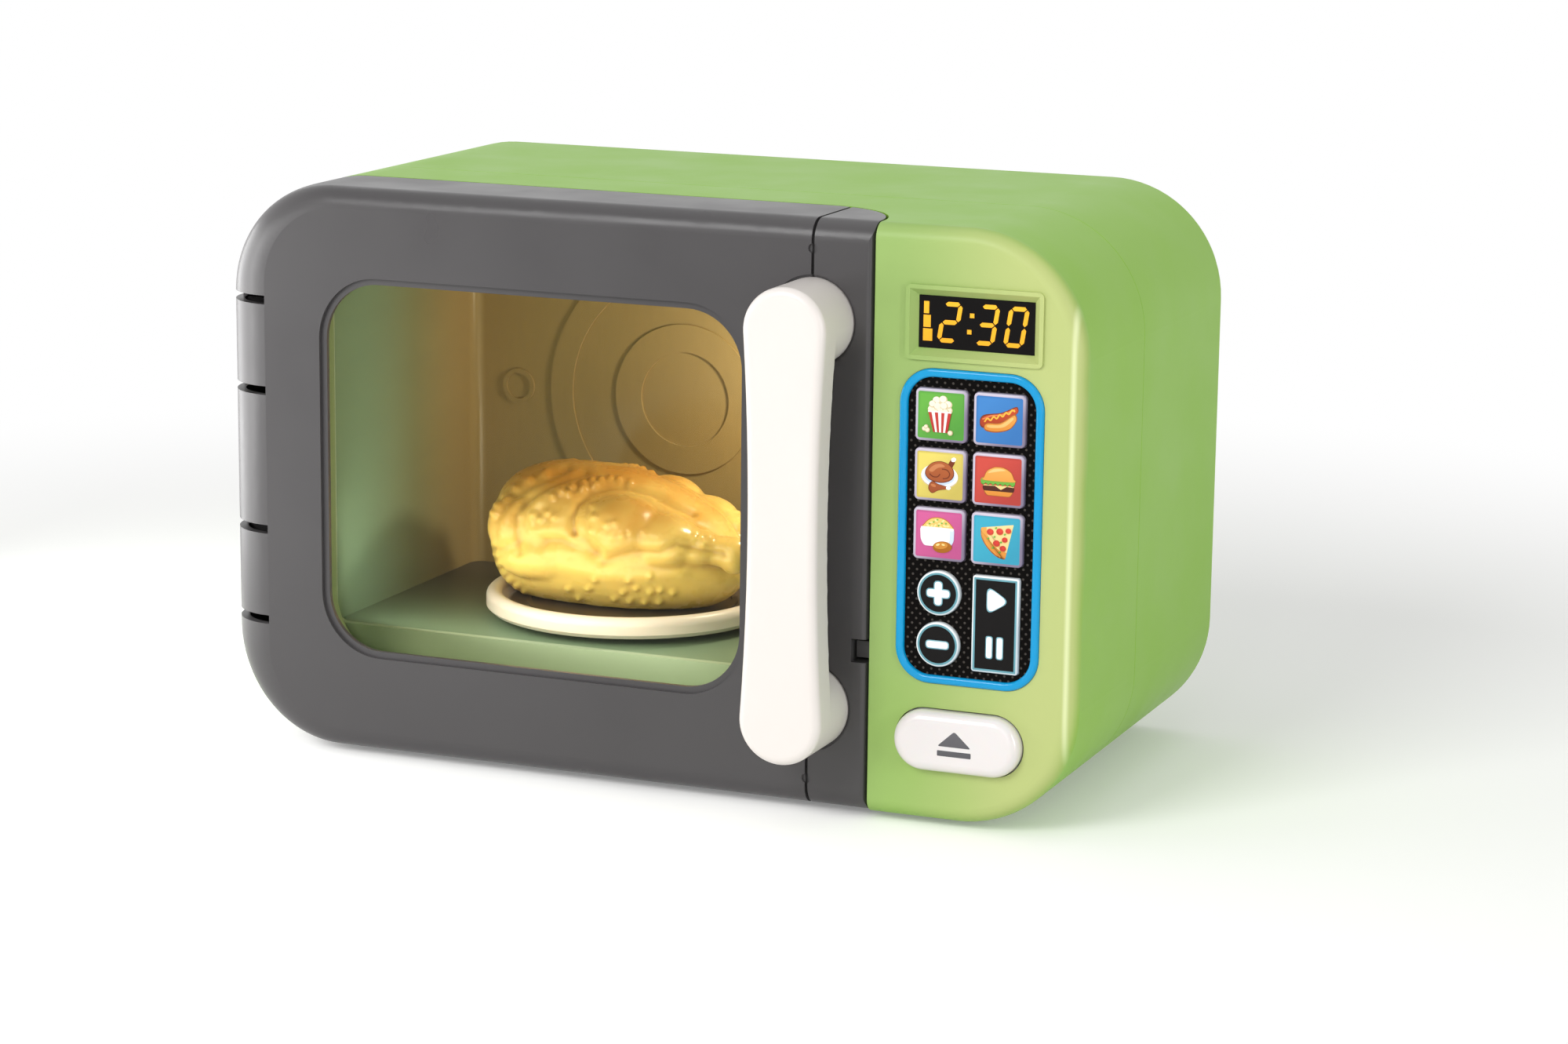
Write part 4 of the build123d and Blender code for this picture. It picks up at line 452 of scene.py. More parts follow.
@dataclass(frozen=True)
class DottedPlate(Finish):
    """Black moulded plate screen-printed with rows of small dots."""

    colour: str
    dot_colour: str
    pitch: float
    row: float
    dot_radius: float
    dot_blur: float = 0.2
    roughness: float = 0.3
    gloss: float = 0.04
    fine_grain: Pair = (0.9, 0.002)

    def shade(self, tree: Tree, place: Socket) -> Socket:
        """Builds the plate from two square sets of dots, one half a step on from the other."""
        steps = (1 / (self.pitch * MM), 0.0, 1 / (self.row * MM))
        lattice = add_node(tree, "VectorMath", {0: place, 1: steps}, operation="MULTIPLY")
        size = (self.pitch, 0.0, self.row)
        gaps = []
        for shift in (0.0, 0.5):
            moved = add_node(tree, "VectorMath", {0: lattice, 1: (shift, 0.0, shift)}, operation="ADD")
            cell = add_node(tree, "VectorMath", {0: moved}, operation="FRACTION")
            away = add_node(tree, "VectorMath", {0: cell, 1: (0.5, 0.0, 0.5)}, operation="SUBTRACT")
            real = add_node(tree, "VectorMath", {0: away, 1: size}, operation="MULTIPLY")
            gaps.append(add_node(tree, "VectorMath", {0: real}, operation="LENGTH"))
        near = add_node(tree, "Math", {0: gaps[0], 1: gaps[1]}, operation="MINIMUM")
        outer, inner = self.dot_radius * (1 + self.dot_blur), self.dot_radius * (1 - self.dot_blur)
        dots = add_node(tree, "MapRange", {"Value": near, 1: outer, 2: inner, 3: 0.0, 4: 1.0})
        shader = {
            "Base Color": self.between(tree, dots, self.colour, self.dot_colour),
            "Roughness": self.roughness,
            "IOR": ABS_IOR,
            "Specular IOR Level": self.gloss,
            "Normal": self.grain(tree, place, *self.fine_grain),
        }
        return add_node(tree, "BsdfPrincipled", shader)


@dataclass(frozen=True)
class KeyCap(Finish):
    """Key cap with a printed face inside a pearly rim, under clear domed lacquer.

    The face darkens towards its lower right corner as painted shade, and once more in a painted shadow
    of the rim at its upper left; the rim is painted lighter at its upper left and shaded at its lower
    right.
    """

    colour: str
    shade_colour: str
    centre_x: float
    centre_height: float
    half_width: float = 7.55
    half_height: float = 7.35
    corner: float = 1.4
    rim: float = 0.8
    rim_light: str = "#c9c0d0"
    rim_shade: str = "#83788f"
    line: float = 0.0
    line_colour: str = "#6aa0ad"
    gloss: float = 0.35
    shadow_width: float = 0.7
    shade_share: float = 0.6
    rim_slant: Pair = (5.0, -9.0)
    shade_slant: Pair = (8.0, -9.0)
    light_slant: Pair = (-10.0, 10.0)
    sharpness: float = 0.06
    patch_size: float = 9.0
    roughness: Pair = (0.16, 0.24)
    fine_grain: Pair = (1.2, 0.002)

    def shade(self, tree: Tree, place: Socket) -> Socket:
        """Builds the cap's print: a point's distance from the key's rounded outline picks face or rim."""
        middle = at(self.centre_x, 0.0, self.centre_height)
        from_middle = add_node(tree, "VectorMath", {0: place, 1: middle}, operation="SUBTRACT")
        gap = self.outline_gap(tree, from_middle)
        rim_start = (self.corner - self.rim) * MM
        slant = add_node(tree, "VectorMath", {0: from_middle, 1: (-1.0, 0.0, 1.0)}, operation="DOT_PRODUCT")
        start, end = [reach * MM for reach in self.rim_slant]
        fall = {"Value": slant, 1: start, 2: end}
        rim_side = add_node(tree, "MapRange", fall, interpolation_type="SMOOTHSTEP")
        shadow_band = {"Value": gap, 1: rim_start - self.shadow_width * MM, 2: rim_start}
        shadow = add_node(tree, "MapRange", shadow_band)
        # Painted shade: a shadow of the rim along the inside of its upper left, and a darkening towards the
        # lower right.
        light, lower_right_shade = [
            add_node(tree, "MapRange", {"Value": slant, 1: start * MM, 2: end * MM, 4: self.shade_share})
            for start, end in (self.light_slant, self.shade_slant)
        ]
        shaded = add_node(tree, "Math", {0: shadow, 1: light}, operation="MULTIPLY")
        body = self.between(tree, lower_right_shade, self.colour, self.shade_colour)
        face = self.between(tree, shaded, body, self.shade_colour)
        if self.line:
            lined = self.beyond(tree, gap, rim_start - self.line * MM)
            face = self.between(tree, lined, face, self.line_colour)
        # Painted light and shade on the rim: lighter at the upper left, darker at the lower right.
        rim_colour = self.between(tree, rim_side, self.rim_light, self.rim_shade)
        shader = {
            "Base Color": self.between(tree, self.beyond(tree, gap, rim_start), face, rim_colour),
            "Roughness": self.blotches(tree, place, self.patch_size, *self.roughness),
            "Specular IOR Level": self.gloss,
            "IOR": LACQUER_IOR,
            "Normal": self.grain(tree, place, *self.fine_grain),
        }
        return add_node(tree, "BsdfPrincipled", shader)

    def outline_gap(self, tree: Tree, from_middle: Socket) -> Socket:
        """Measures how far a point lies outside the key's core, which is its outline less its corners.

        Args:
            tree: The material's node tree.
            from_middle: The point, measured from the key's middle.

        Returns:
            A socket in metres, below 0 inside the core.
        """
        core = ((self.half_width - self.corner) * MM, 0.0, (self.half_height - self.corner) * MM)
        flat = add_node(tree, "VectorMath", {0: from_middle, 1: (1.0, 0.0, 1.0)}, operation="MULTIPLY")
        folded = add_node(tree, "VectorMath", {0: flat}, operation="ABSOLUTE")
        past = add_node(tree, "VectorMath", {0: folded, 1: core}, operation="SUBTRACT")
        outside = add_node(tree, "VectorMath", {0: past, 1: (0.0, 0.0, 0.0)}, operation="MAXIMUM")
        parts = add_node(tree, "SeparateXYZ", {"Vector": past}).node.outputs
        larger = add_node(tree, "Math", {0: parts["X"], 1: parts["Z"]}, operation="MAXIMUM")
        inside = add_node(tree, "Math", {0: larger, 1: 0.0}, operation="MINIMUM")
        round_gap = add_node(tree, "VectorMath", {0: outside}, operation="LENGTH")
        return add_node(tree, "Math", {0: round_gap, 1: inside}, operation="ADD")

    def beyond(self, tree: Tree, gap: Socket, start: float) -> Socket:
        """Marks the band of the face that lies outside a line which follows the key's outline.

        Args:
            tree: The material's node tree.
            gap: How far the point lies outside the outline's inner core, in metres.
            start: Where the band starts, in metres.

        Returns:
            A socket that is 1 in the band.
        """
        blur = self.sharpness * MM
        return add_node(tree, "MapRange", {"Value": gap, 1: start - blur, 2: start + blur})


@dataclass(frozen=True)
class PrintInk(Finish):
    """Pad-printed ink: an even film with a soft fade from top to bottom, as an airbrushed picture has."""

    colour: str
    low_colour: str
    roughness: float = 0.3
    gloss: float = 0.3
    glow: float = 0.0
    fine_grain: Pair = (0.8, 0.001)

    def shade(self, tree: Tree, place: Socket) -> Socket:
        """Builds the ink's shader from its fade down the picture that it prints."""
        picture = add_node(tree, "TexCoord").node.outputs["Generated"]
        rise = add_node(tree, "SeparateXYZ", {"Vector": picture}).node.outputs["Z"]
        shader = {
            "Base Color": self.between(tree, rise, self.low_colour, self.colour),
            "Roughness": self.roughness,
            "IOR": LACQUER_IOR,
            "Specular IOR Level": self.gloss,
            "Normal": self.grain(tree, place, *self.fine_grain),
        }
        # Painted glow: the ink gives off light, though it is no lamp.
        if self.glow:
            shader["Emission Color"] = linear(self.colour)
            shader["Emission Strength"] = self.glow
        return add_node(tree, "BsdfPrincipled", shader)


@dataclass(frozen=True)
class TurntablePearl(Finish):
    """Moulded plate in pearly plastic, with its well painted dark brown as a painted reflection of the
    oven.
    """

    rim_colour: str
    well_colour: str
    centre_x: float
    centre_depth: float
    well_radius: float
    well_edge: float
    soft_share: float = 0.1
    soft_depth: float = 1.5
    patch_size: float = 14.0
    roughness: Pair = (0.28, 0.38)
    fine_grain: Pair = (0.9, 0.003)

    def shade(self, tree: Tree, place: Socket) -> Socket:
        """Builds the plate's shader: the distance from its axis picks rim or well."""
        axis = at(self.centre_x, self.centre_depth, 0.0)
        away = add_node(tree, "VectorMath", {0: place, 1: axis}, operation="SUBTRACT")
        flat = add_node(tree, "VectorMath", {0: away, 1: (1.0, 1.0, 0.0)}, operation="MULTIPLY")
        reach = add_node(tree, "VectorMath", {0: flat}, operation="LENGTH")
        inner = (self.well_radius - self.well_edge) * MM
        rim = add_node(tree, "MapRange", {"Value": reach, 1: inner, 2: self.well_radius * MM})
        shader = {
            # Painted reflection: the well is darker than the rim, as the oven mirrors in it.
            "Base Color": self.between(tree, rim, self.well_colour, self.rim_colour),
            "Roughness": self.blotches(tree, place, self.patch_size, *self.roughness),
            "IOR": PEARL_IOR,
            "Normal": self.grain(tree, place, *self.fine_grain),
            "Subsurface Weight": self.soft_share,
            "Subsurface Scale": self.soft_depth * MM,
        }
        return add_node(tree, "BsdfPrincipled", shader)


@dataclass(frozen=True)
class RoastSkin(Finish):
    """Soft vinyl moulded as roast skin and sprayed: orange on the back, yellow at the belly, wet, with
    painted shade in its folds.
    """

    top_colour: str
    side_colour: str
    belly_colour: str
    fold_shade_colour: str
    low: float
    high: float
    side_share: float = 0.55
    wander_size: float = 16.0
    wander: float = 6.0
    fold_start: float = 0.42
    fold_end: float = 0.5
    soft_share: float = 0.25
    soft_depth: float = 3.0
    soft_radius: Triple = (1.0, 0.6, 0.25)
    patch_size: float = 7.0
    roughness: Pair = (0.22, 0.34)
    fine_grain: Pair = (2.2, 0.008)

    def shade(self, tree: Tree, place: Socket) -> Socket:
        """Builds the skin's shader from a fade up the bird, painted shade in the folds and a glossy skin.
        """
        across = add_node(tree, "SeparateXYZ", {"Vector": place}).node.outputs
        wander = self.blotches(tree, place, self.wander_size, -self.wander * MM, self.wander * MM)
        lifted = add_node(tree, "Math", {0: across["Z"], 1: wander}, operation="ADD")
        rise = {"Value": lifted, 1: (self.low + FOOT) * MM, 2: (self.high + FOOT) * MM}
        colours = (self.belly_colour, self.side_colour, self.top_colour)
        colour_fade = self.through(tree, add_node(tree, "MapRange", rise), colours, self.side_share)
        # Painted shade: where the skin curves inwards, its folds are darkened.
        form = add_node(tree, "NewGeometry").node.outputs["Pointiness"]
        folds = {"Value": form, 1: self.fold_start, 2: self.fold_end, 3: 1.0, 4: 0.0}
        fold_shade = add_node(tree, "MapRange", folds)
        shader = {
            "Base Color": self.between(tree, fold_shade, colour_fade, self.fold_shade_colour),
            "Roughness": self.blotches(tree, place, self.patch_size, *self.roughness),
            "IOR": VINYL_IOR,
            "Normal": self.grain(tree, place, *self.fine_grain),
            "Subsurface Weight": self.soft_share,
            "Subsurface Scale": self.soft_depth * MM,
            "Subsurface Radius": self.soft_radius,
        }
        return add_node(tree, "BsdfPrincipled", shader)


# The colours and surfaces of the toy

# ABS moulded in a satin-polished tool: a soft, wide gloss over bright green. The front carries a painted
# yellow sheen, strongest towards the right, and a painted highlight line along the rounding at its right.
# The edges of the opening are paler and greyer.
APPLE_GREEN = ShellPlastic(
    "abs_moulded_apple_green", "#96b368", "#b9c47e", "#8ebe42", "#b0c4b2", "#dbe3ad",
    left_x=76.0, right_x=126.0, far_depth=5.5, highlight_x=132.0, highlight_width=1.2,
    well_middle=(-37.0, 20.0, 84.0), well_half=(84.0, 30.0, 69.0),
)
# The same green ABS on the door's inner panel, a little duller and greyer.
INNER_GREEN = MouldedPlastic(
    "abs_moulded_inner_green", "#8fab84", "#97b08b", roughness=0.46, flow_size=60.0
)
# Charcoal ABS with a fine spark-eroded grain: dark, with broad silky highlights on the roundings.
CHARCOAL = MouldedPlastic(
    "abs_moulded_charcoal", "#444243", "#484647", roughness=0.32, ior=1.45, flow_size=80.0, gloss=0.45
)
# White ABS from a polished tool: bright and warm, with a clean gloss.
WHITE = MouldedPlastic("abs_moulded_white", "#e3dcd7", "#e4ded9", roughness=0.3, roughness_spread=0.0)
# White ABS of the button, lacquered: a sharp streak of light over a soft body.
BUTTON_WHITE = MouldedPlastic(
    "abs_lacquered_white", "#e3dddc", "#e5e0df", roughness=0.24, roughness_spread=0.01,
    soft_depth=1.0, clear_coat=0.5,
)
# Oven liner: green ABS turning bronze towards the back, partly its own bronze lacquer and partly painted
# warm glow of the oven lamp, in upright strokes.
OVEN_WALL = OvenPaint(
    "abs_oven_bronze_painted_glow", "#85a38e", "#8a8e6c", "#a99162", 44.0, 126.0, roughness=0.24
)
# Oven floor: the same fade over a floor that stays greener, darker and browner towards the back as painted
# shade.
OVEN_FLOOR = OvenPaint("abs_oven_floor_painted_shade", "#7f9985", "#6b735e", "#544e42", 30.0, 122.0)
# Smoked clear acrylic pane: a slight warm tint over everything behind it. Its index is set below
# acrylic's own, so that the pane mirrors as little of the room as the real one does.
PANE = ClearSheet("acrylic_moulded_smoke", "#f1efe2", ior=1.16)
# Plate moulded in pearl polystyrene, warm white with a faint pink cast, its well painted dark as a painted
# reflection of the oven.
PLATE = TurntablePearl("polystyrene_moulded_pearl", "#e4d8d8", "#54473d", -35.0, 78.5, 38.9, 1.6)
# Display window in black-tinted acrylic: nearly black under a mirror-smooth face.
DISPLAY = MouldedPlastic(
    "acrylic_moulded_black", "#0f0d0d", "#121010", roughness=0.12, roughness_spread=0.02,
    ior=ACRYLIC_IOR, gloss=0.1,
)
# Screen-printed amber segments: flat, warm, and bright against the black, with a faint painted glow.
AMBER = PrintInk("ink_screened_amber", "#fbb92b", "#f6a91f", glow=0.12)
# Frame in glossy blue ABS: a strong colour with thin sharp lines of light on its rounded edges.
BLUE_FRAME = MouldedPlastic(
    "abs_polished_blue", "#0092cc", "#009bd4", roughness=0.12, roughness_spread=0.03,
    gloss=0.26, clear_coat=0.12,
)
# Keypad plate: black ABS with a screened lattice of grey dots.
DOT_PLATE = DottedPlate("abs_screened_black_dots", "#0b0908", "#4a4541", 2.4, 2.8, 0.34)
# Thermoplastic rubber feet and key mat: matt, dusty grey.
RUBBER = MouldedPlastic("rubber_moulded_grey", "#6e6e6c", "#787876", roughness=0.75, grain_height=0.02)
# Grey ABS of the brackets inside.
BRACKET_GREY = MouldedPlastic("abs_moulded_bracket_grey", "#8f9193", "#999b9d", roughness=0.5)
# Green solder mask over glass-fibre board: deep green and slightly uneven.
BOARD = MouldedPlastic("fibreglass_lacquered_board", "#1f5c34", "#26693d", roughness=0.35, flow_size=6.0)
# Epoxy chip bodies: black and matt.
CHIPS = MouldedPlastic("epoxy_moulded_black", "#1b1b1c", "#232324", roughness=0.6, grain_height=0.01)
# Natural nylon gears: milky, slightly see-through ivory.
NYLON = MouldedPlastic("nylon_moulded_natural", "#e6e0cf", "#ece6d6", roughness=0.45, soft_depth=2.0)
# Zinc-plated steel screws, pins and springs: bright with fine turned marks.
STEEL = Metal("steel_zinc_plated", "#b9bcc0", 0.32, 0.3, 0.002)
# Drawn steel motor can: brushed round its sides.
MOTOR_CAN = Metal("steel_drawn_can", "#a9abad", 0.36, 0.4, 0.003, (1.0, 1.0, 0.05))
# Nickel-plated spring brass contacts: a warm, smooth silver.
NICKEL = Metal("brass_nickel_plated", "#c9c3b6", 0.25, 0.5, 0.002)
# Amber lens over the oven lamp: clear and warm, a little hazy from its mould.
LAMP_LENS = ClearSheet("acrylic_moulded_amber", "#f3b75e", roughness=0.12)
# The lamp's own epoxy body, milky amber.
LAMP_BODY = MouldedPlastic("epoxy_cast_lamp", "#f2d79a", "#f6dfa9", roughness=0.2, soft_depth=2.0)
# Black polystyrene basket of the speaker.
SPEAKER_BLACK = MouldedPlastic("polystyrene_moulded_black", "#1d1d1e", "#232325", roughness=0.5)
# Pressed paper cone: matt with fibres.
SPEAKER_PAPER = MouldedPlastic(
    "paper_pressed_cone", "#3a3836", "#474441", roughness=0.85,
    grain_spacing=0.7, grain_height=0.06, flow_size=5.0,
)
# Printed film jackets of the cells: plain blue, shrunk tight and glossy.
CELL_JACKET = MouldedPlastic("film_shrunk_blue", "#2f5f93", "#356aa0", roughness=0.28, flow_size=20.0)
# Black ABS of the switch: matt so that a finger grips it.
SWITCH_BLACK = MouldedPlastic(
    "abs_moulded_switch_black", "#1a1a1b", "#202021", roughness=0.5, grain_height=0.01
)


class Ink(Enum):
    """Pad-printing inks of the pictures and signs: the colour at the top of a picture and at its foot."""

    CREAM = ("#fdf6e2", "#f3e6c8")
    CREAM_SHADE = ("#e3d2ac", "#cdb88c")
    RED = ("#d2453c", "#b5302d")
    PAPER = ("#fffdf8", "#f3eee6")
    BUN = ("#f0ac55", "#d98a35")
    BUN_LIGHT = ("#f9c983", "#f3b869")
    BUN_EDGE = ("#b4662a", "#9c5322")
    SAUSAGE = ("#c9502a", "#9c331a")
    SAUSAGE_LIGHT = ("#e98a55", "#d96b3c")
    MUSTARD = ("#fbc24a", "#f5ac36")
    ROAST = ("#b76435", "#9a4b26")
    ROAST_LIGHT = ("#d08a5a", "#c0703f")
    ROAST_EDGE = ("#7b3718", "#6a2c12")
    LETTUCE = ("#7fbf4d", "#5b9c34")
    LETTUCE_DARK = ("#477f2c", "#3a6f24")
    PATTY = ("#5c2a18", "#431b0e")
    TOMATO = ("#e34a38", "#c9342a")
    CHEESE = ("#f7dc9c", "#f2cf86")
    RICE = ("#f6d079", "#edb655")
    RICE_LIGHT = ("#fdeaa8", "#f8dc8f")
    BOWL = ("#ffffff", "#f4f6fa")
    BOWL_SHADE = ("#dbe6f6", "#c6d8f0")
    NUGGET = ("#c07a22", "#a3600f")
    NUGGET_LIGHT = ("#d99a45", "#cb8730")
    WHITE = ("#fbfdfe", "#f6fafb")
    TEAL = ("#7fb3c0", "#6ba2b0")
    GREY = ("#646267", "#57565a")

    def finish(self) -> PrintInk:
        """Gives the ink's finish: a smooth, thin, satin film."""
        return PrintInk("ink_padded_" + self.name.lower(), *self.value)


def coat(frame: dict, finish: Finish, *nodes: str) -> None:
    """Gives CAD nodes their finish.

    Args:
        finish: The finish that the nodes get.
        nodes: The names of the nodes.
    """
    for name in nodes:
        for slot in frame["nodes"][name].material_slots:
            slot.material = finish.material()
        log.info("dressed %s in %s", name, finish.name)


def link_piece(name: str, mesh: bpy.types.Mesh, body: str) -> bpy.types.Object:
    """Puts a piece into the scene and hangs it on its body.

    Args:
        name: The piece's name.
        mesh: Its mesh, in the frame's metres.
        body: The CAD body that it rides on.

    Returns:
        The new object.
    """
    piece = bpy.data.objects.new(name, mesh)
    bpy.context.scene.collection.objects.link(piece)
    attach(piece, body)
    log.info("built %s with %d faces on %s", name, len(mesh.polygons), body)
    return piece


def spline(points: Outline, closed: bool = True, steps: int = 6) -> Outline:
    """Draws a smooth line through chosen points.

    Args:
        points: The points that the line goes through.
        closed: Whether it comes back to its start.
        steps: How many short runs go between two points.

    Returns:
        The points of the smooth line.
    """
    count = len(points)
    spans = count if closed else count - 1
    out = []
    for i in range(spans):
        picks = [(i + k) % count if closed else min(max(i + k, 0), count - 1) for k in (-1, 0, 1, 2)]
        values = list(zip(*(points[k] for k in picks)))
        for step in range(steps):
            t = step / steps
            bends = [
                (2 * q, r - p, 2 * p - 5 * q + 4 * r - s, 3 * q - p - 3 * r + s) for p, q, r, s in values
            ]
            out.append(tuple(0.5 * (k + l * t + m * t**2 + n * t**3) for k, l, m, n in bends))
    if not closed:
        out.append(points[-1])
    return out


def oval(
    x: float, y: float, half_width: float, half_height: float, turn: float = 0.0, steps: int = 28
) -> Outline:
    """Draws an oval.

    Args:
        x: Its middle across.
        y: Its middle up.
        half_width: Half its width.
        half_height: Half its height.
        turn: Degrees that it is turned to the left.
        steps: How many points it has.

    Returns:
        The outline's points.
    """
    cos, sin = math.cos(math.radians(turn)), math.sin(math.radians(turn))
    turns = [2 * math.pi * i / steps for i in range(steps)]
    ring = [(math.cos(t) * half_width, math.sin(t) * half_height) for t in turns]
    return [(x + a * cos - b * sin, y + a * sin + b * cos) for a, b in ring]


def softened(points: Outline, radius: float, steps: int = 5) -> Outline:
    """Rounds the corners of an outline.

    Args:
        points: The corners, in order.
        radius: How far from each corner its rounding starts.
        steps: How many short runs make one rounding.

    Returns:
        The rounded outline's points.
    """
    out = []
    for i, corner in enumerate(points):
        here = Vector(corner)
        before = here + (Vector(points[i - 1]) - here).normalized() * radius
        after = here + (Vector(points[(i + 1) % len(points)]) - here).normalized() * radius
        for step in range(steps + 1):
            t = step / steps
            out.append(tuple((1 - t) ** 2 * before + 2 * t * (1 - t) * here + t**2 * after))
    return out


def bar(x: float, y: float, half_width: float, half_height: float, radius: float) -> Outline:
    """Draws an upright bar with rounded corners round the middle x, y."""
    ends = [(-1, -1), (1, -1), (1, 1), (-1, 1)]
    return softened([(x + a * half_width, y + b * half_height) for a, b in ends], radius)


def ribbon(points: Outline, width: float) -> Outline:
    """Draws a ribbon of even width along a line.

    Args:
        points: The line's points.
        width: The ribbon's width.

    Returns:
        The outline round the ribbon.
    """
    left, right = [], []
    for i, point in enumerate(points):
        along = Vector(points[min(i + 1, len(points) - 1)]) - Vector(points[max(i - 1, 0)])
        aside = Vector((-along.y, along.x)).normalized() * width / 2
        left.append(tuple(Vector(point) + aside))
        right.append(tuple(Vector(point) - aside))
    return left + right[::-1]


def capsule(start: Pair, end: Pair, width: float) -> Outline:
    """Draws a bar with round ends from start to end, of the given width."""
    return softened(ribbon([start, end], width), width * 0.48, 7)


Film = tuple[Ink, Outline]


def puffs(spots: tuple[Triple, ...]) -> list[Film]:
    """Draws popped kernels: each a shaded disc with a paler, smaller one towards the light."""
    films = []
    for x, y, size in spots:
        lit = oval(x - size * 0.1, y + size * 0.14, size * 0.82, size * 0.76, steps=18)
        films += [(Ink.CREAM_SHADE, oval(x, y, size, size * 0.95, steps=18)), (Ink.CREAM, lit)]
    return films


def specks(ink: Ink, spots: list[tuple[float, ...]], steps: int) -> list[Film]:
    """Draws one small oval for each spot: its place, its half sizes and its turn."""
    return [(ink, oval(*spot, steps)) for spot in spots]


def scaled(outline: Outline, middle: Pair, wide: float, high: float, shift: Pair = (0.0, 0.0)) -> Outline:
    """Grows or shrinks an outline.

    Args:
        outline: The outline's points.
        middle: The point that stays where it is.
        wide: How many times as wide it gets.
        high: How many times as high.
        shift: How far it is moved after that.

    Returns:
        The new outline's points.
    """
    return [
        (middle[0] + (x - middle[0]) * wide + shift[0], middle[1] + (y - middle[1]) * high + shift[1])
        for x, y in outline
    ]


def popcorn() -> list[Film]:
    """Draws a striped tub of popcorn, with a few kernels beside it."""
    heap = (
        (0.0, 2.6, 2.3), (-2.7, 1.6, 1.2), (2.2, 1.6, 1.15), (-1.3, 4.1, 1.25), (0.6, 4.5, 1.2),
        (2.1, 3.2, 1.15), (-2.5, 3.1, 1.05), (-0.9, 2.5, 1.2), (0.9, 2.7, 1.15), (-0.2, 1.2, 1.1),
        (1.4, 1.1, 0.95), (-1.6, 0.9, 0.9),
    )
    spilt = ((-4.7, -3.9, 0.7), (-3.8, -4.2, 0.75), (-4.2, -3.3, 0.6), (2.9, -4.6, 0.75))
    top, foot = (-3.7, 3.1, 1.05), (-2.1, 2.0, -4.65)
    stripes = 7
    lines = [
        [(left + (right - left) * i / stripes, height) for left, right, height in (top, foot)]
        for i in range(stripes + 1)
    ]
    films = puffs(heap)
    for i in range(stripes):
        films.append((Ink.PAPER if i % 2 else Ink.RED, lines[i] + lines[i + 1][::-1]))
    films.append((Ink.PAPER, ribbon([lines[0][0], lines[-1][0]], 0.35)))
    return films + puffs(spilt)


def hot_dog() -> list[Film]:
    """Draws a hot dog with a line of mustard."""
    turns = 11
    zigzag = []
    for i in range(turns):
        share = i / (turns - 1)
        sway = 0.4 if i % 2 else -0.4
        zigzag.append((-4.3 + 8.8 * share, -0.3 + 2.6 * share + 0.9 * share**2 + sway))
    sausage = {
        Ink.ROAST_EDGE: [
            (-5.7, -0.6), (-4.4, 1.3), (0.5, 2.2), (4.3, 4.0), (5.3, 3.9), (5.0, 2.2), (0.5, -0.6),
            (-4.6, -2.4),
        ],
        Ink.SAUSAGE: [
            (-5.5, -0.6), (-4.2, 1.0), (0.5, 2.0), (4.3, 3.7), (5.1, 3.6), (4.8, 2.2), (0.5, -0.4),
            (-4.4, -2.0),
        ],
    }
    gleam = [(-4.9, 0.0), (-2.5, 1.1), (0.8, 1.7), (4.5, 3.3)]
    bun = {
        Ink.BUN_EDGE: [
            (-4.4, -1.9), (-3.4, -0.9), (0.2, -0.6), (3.6, 1.7), (4.8, 1.9), (5.0, 0.2), (3.0, -2.3),
            (-0.8, -3.4), (-3.9, -3.1),
        ],
        Ink.BUN: [
            (-4.2, -1.9), (-3.3, -1.1), (0.3, -0.8), (3.7, 1.4), (4.6, 1.6), (4.8, 0.2), (2.9, -2.1),
            (-0.8, -3.1), (-3.7, -2.8),
        ],
        Ink.BUN_LIGHT: [
            (-3.5, -1.6), (-2.4, -1.4), (0.5, -1.1), (3.6, 1.0), (3.9, 0.4), (1.4, -1.7), (-1.6, -2.2),
            (-3.3, -2.1),
        ],
    }
    return [
        *((ink, spline(line)) for ink, line in sausage.items()),
        (Ink.SAUSAGE_LIGHT, ribbon(spline(gleam, closed=False), 0.4)),
        (Ink.MUSTARD, ribbon(spline(zigzag, closed=False, steps=5), 0.42)),
        *((ink, spline(line)) for ink, line in bun.items()),
    ]


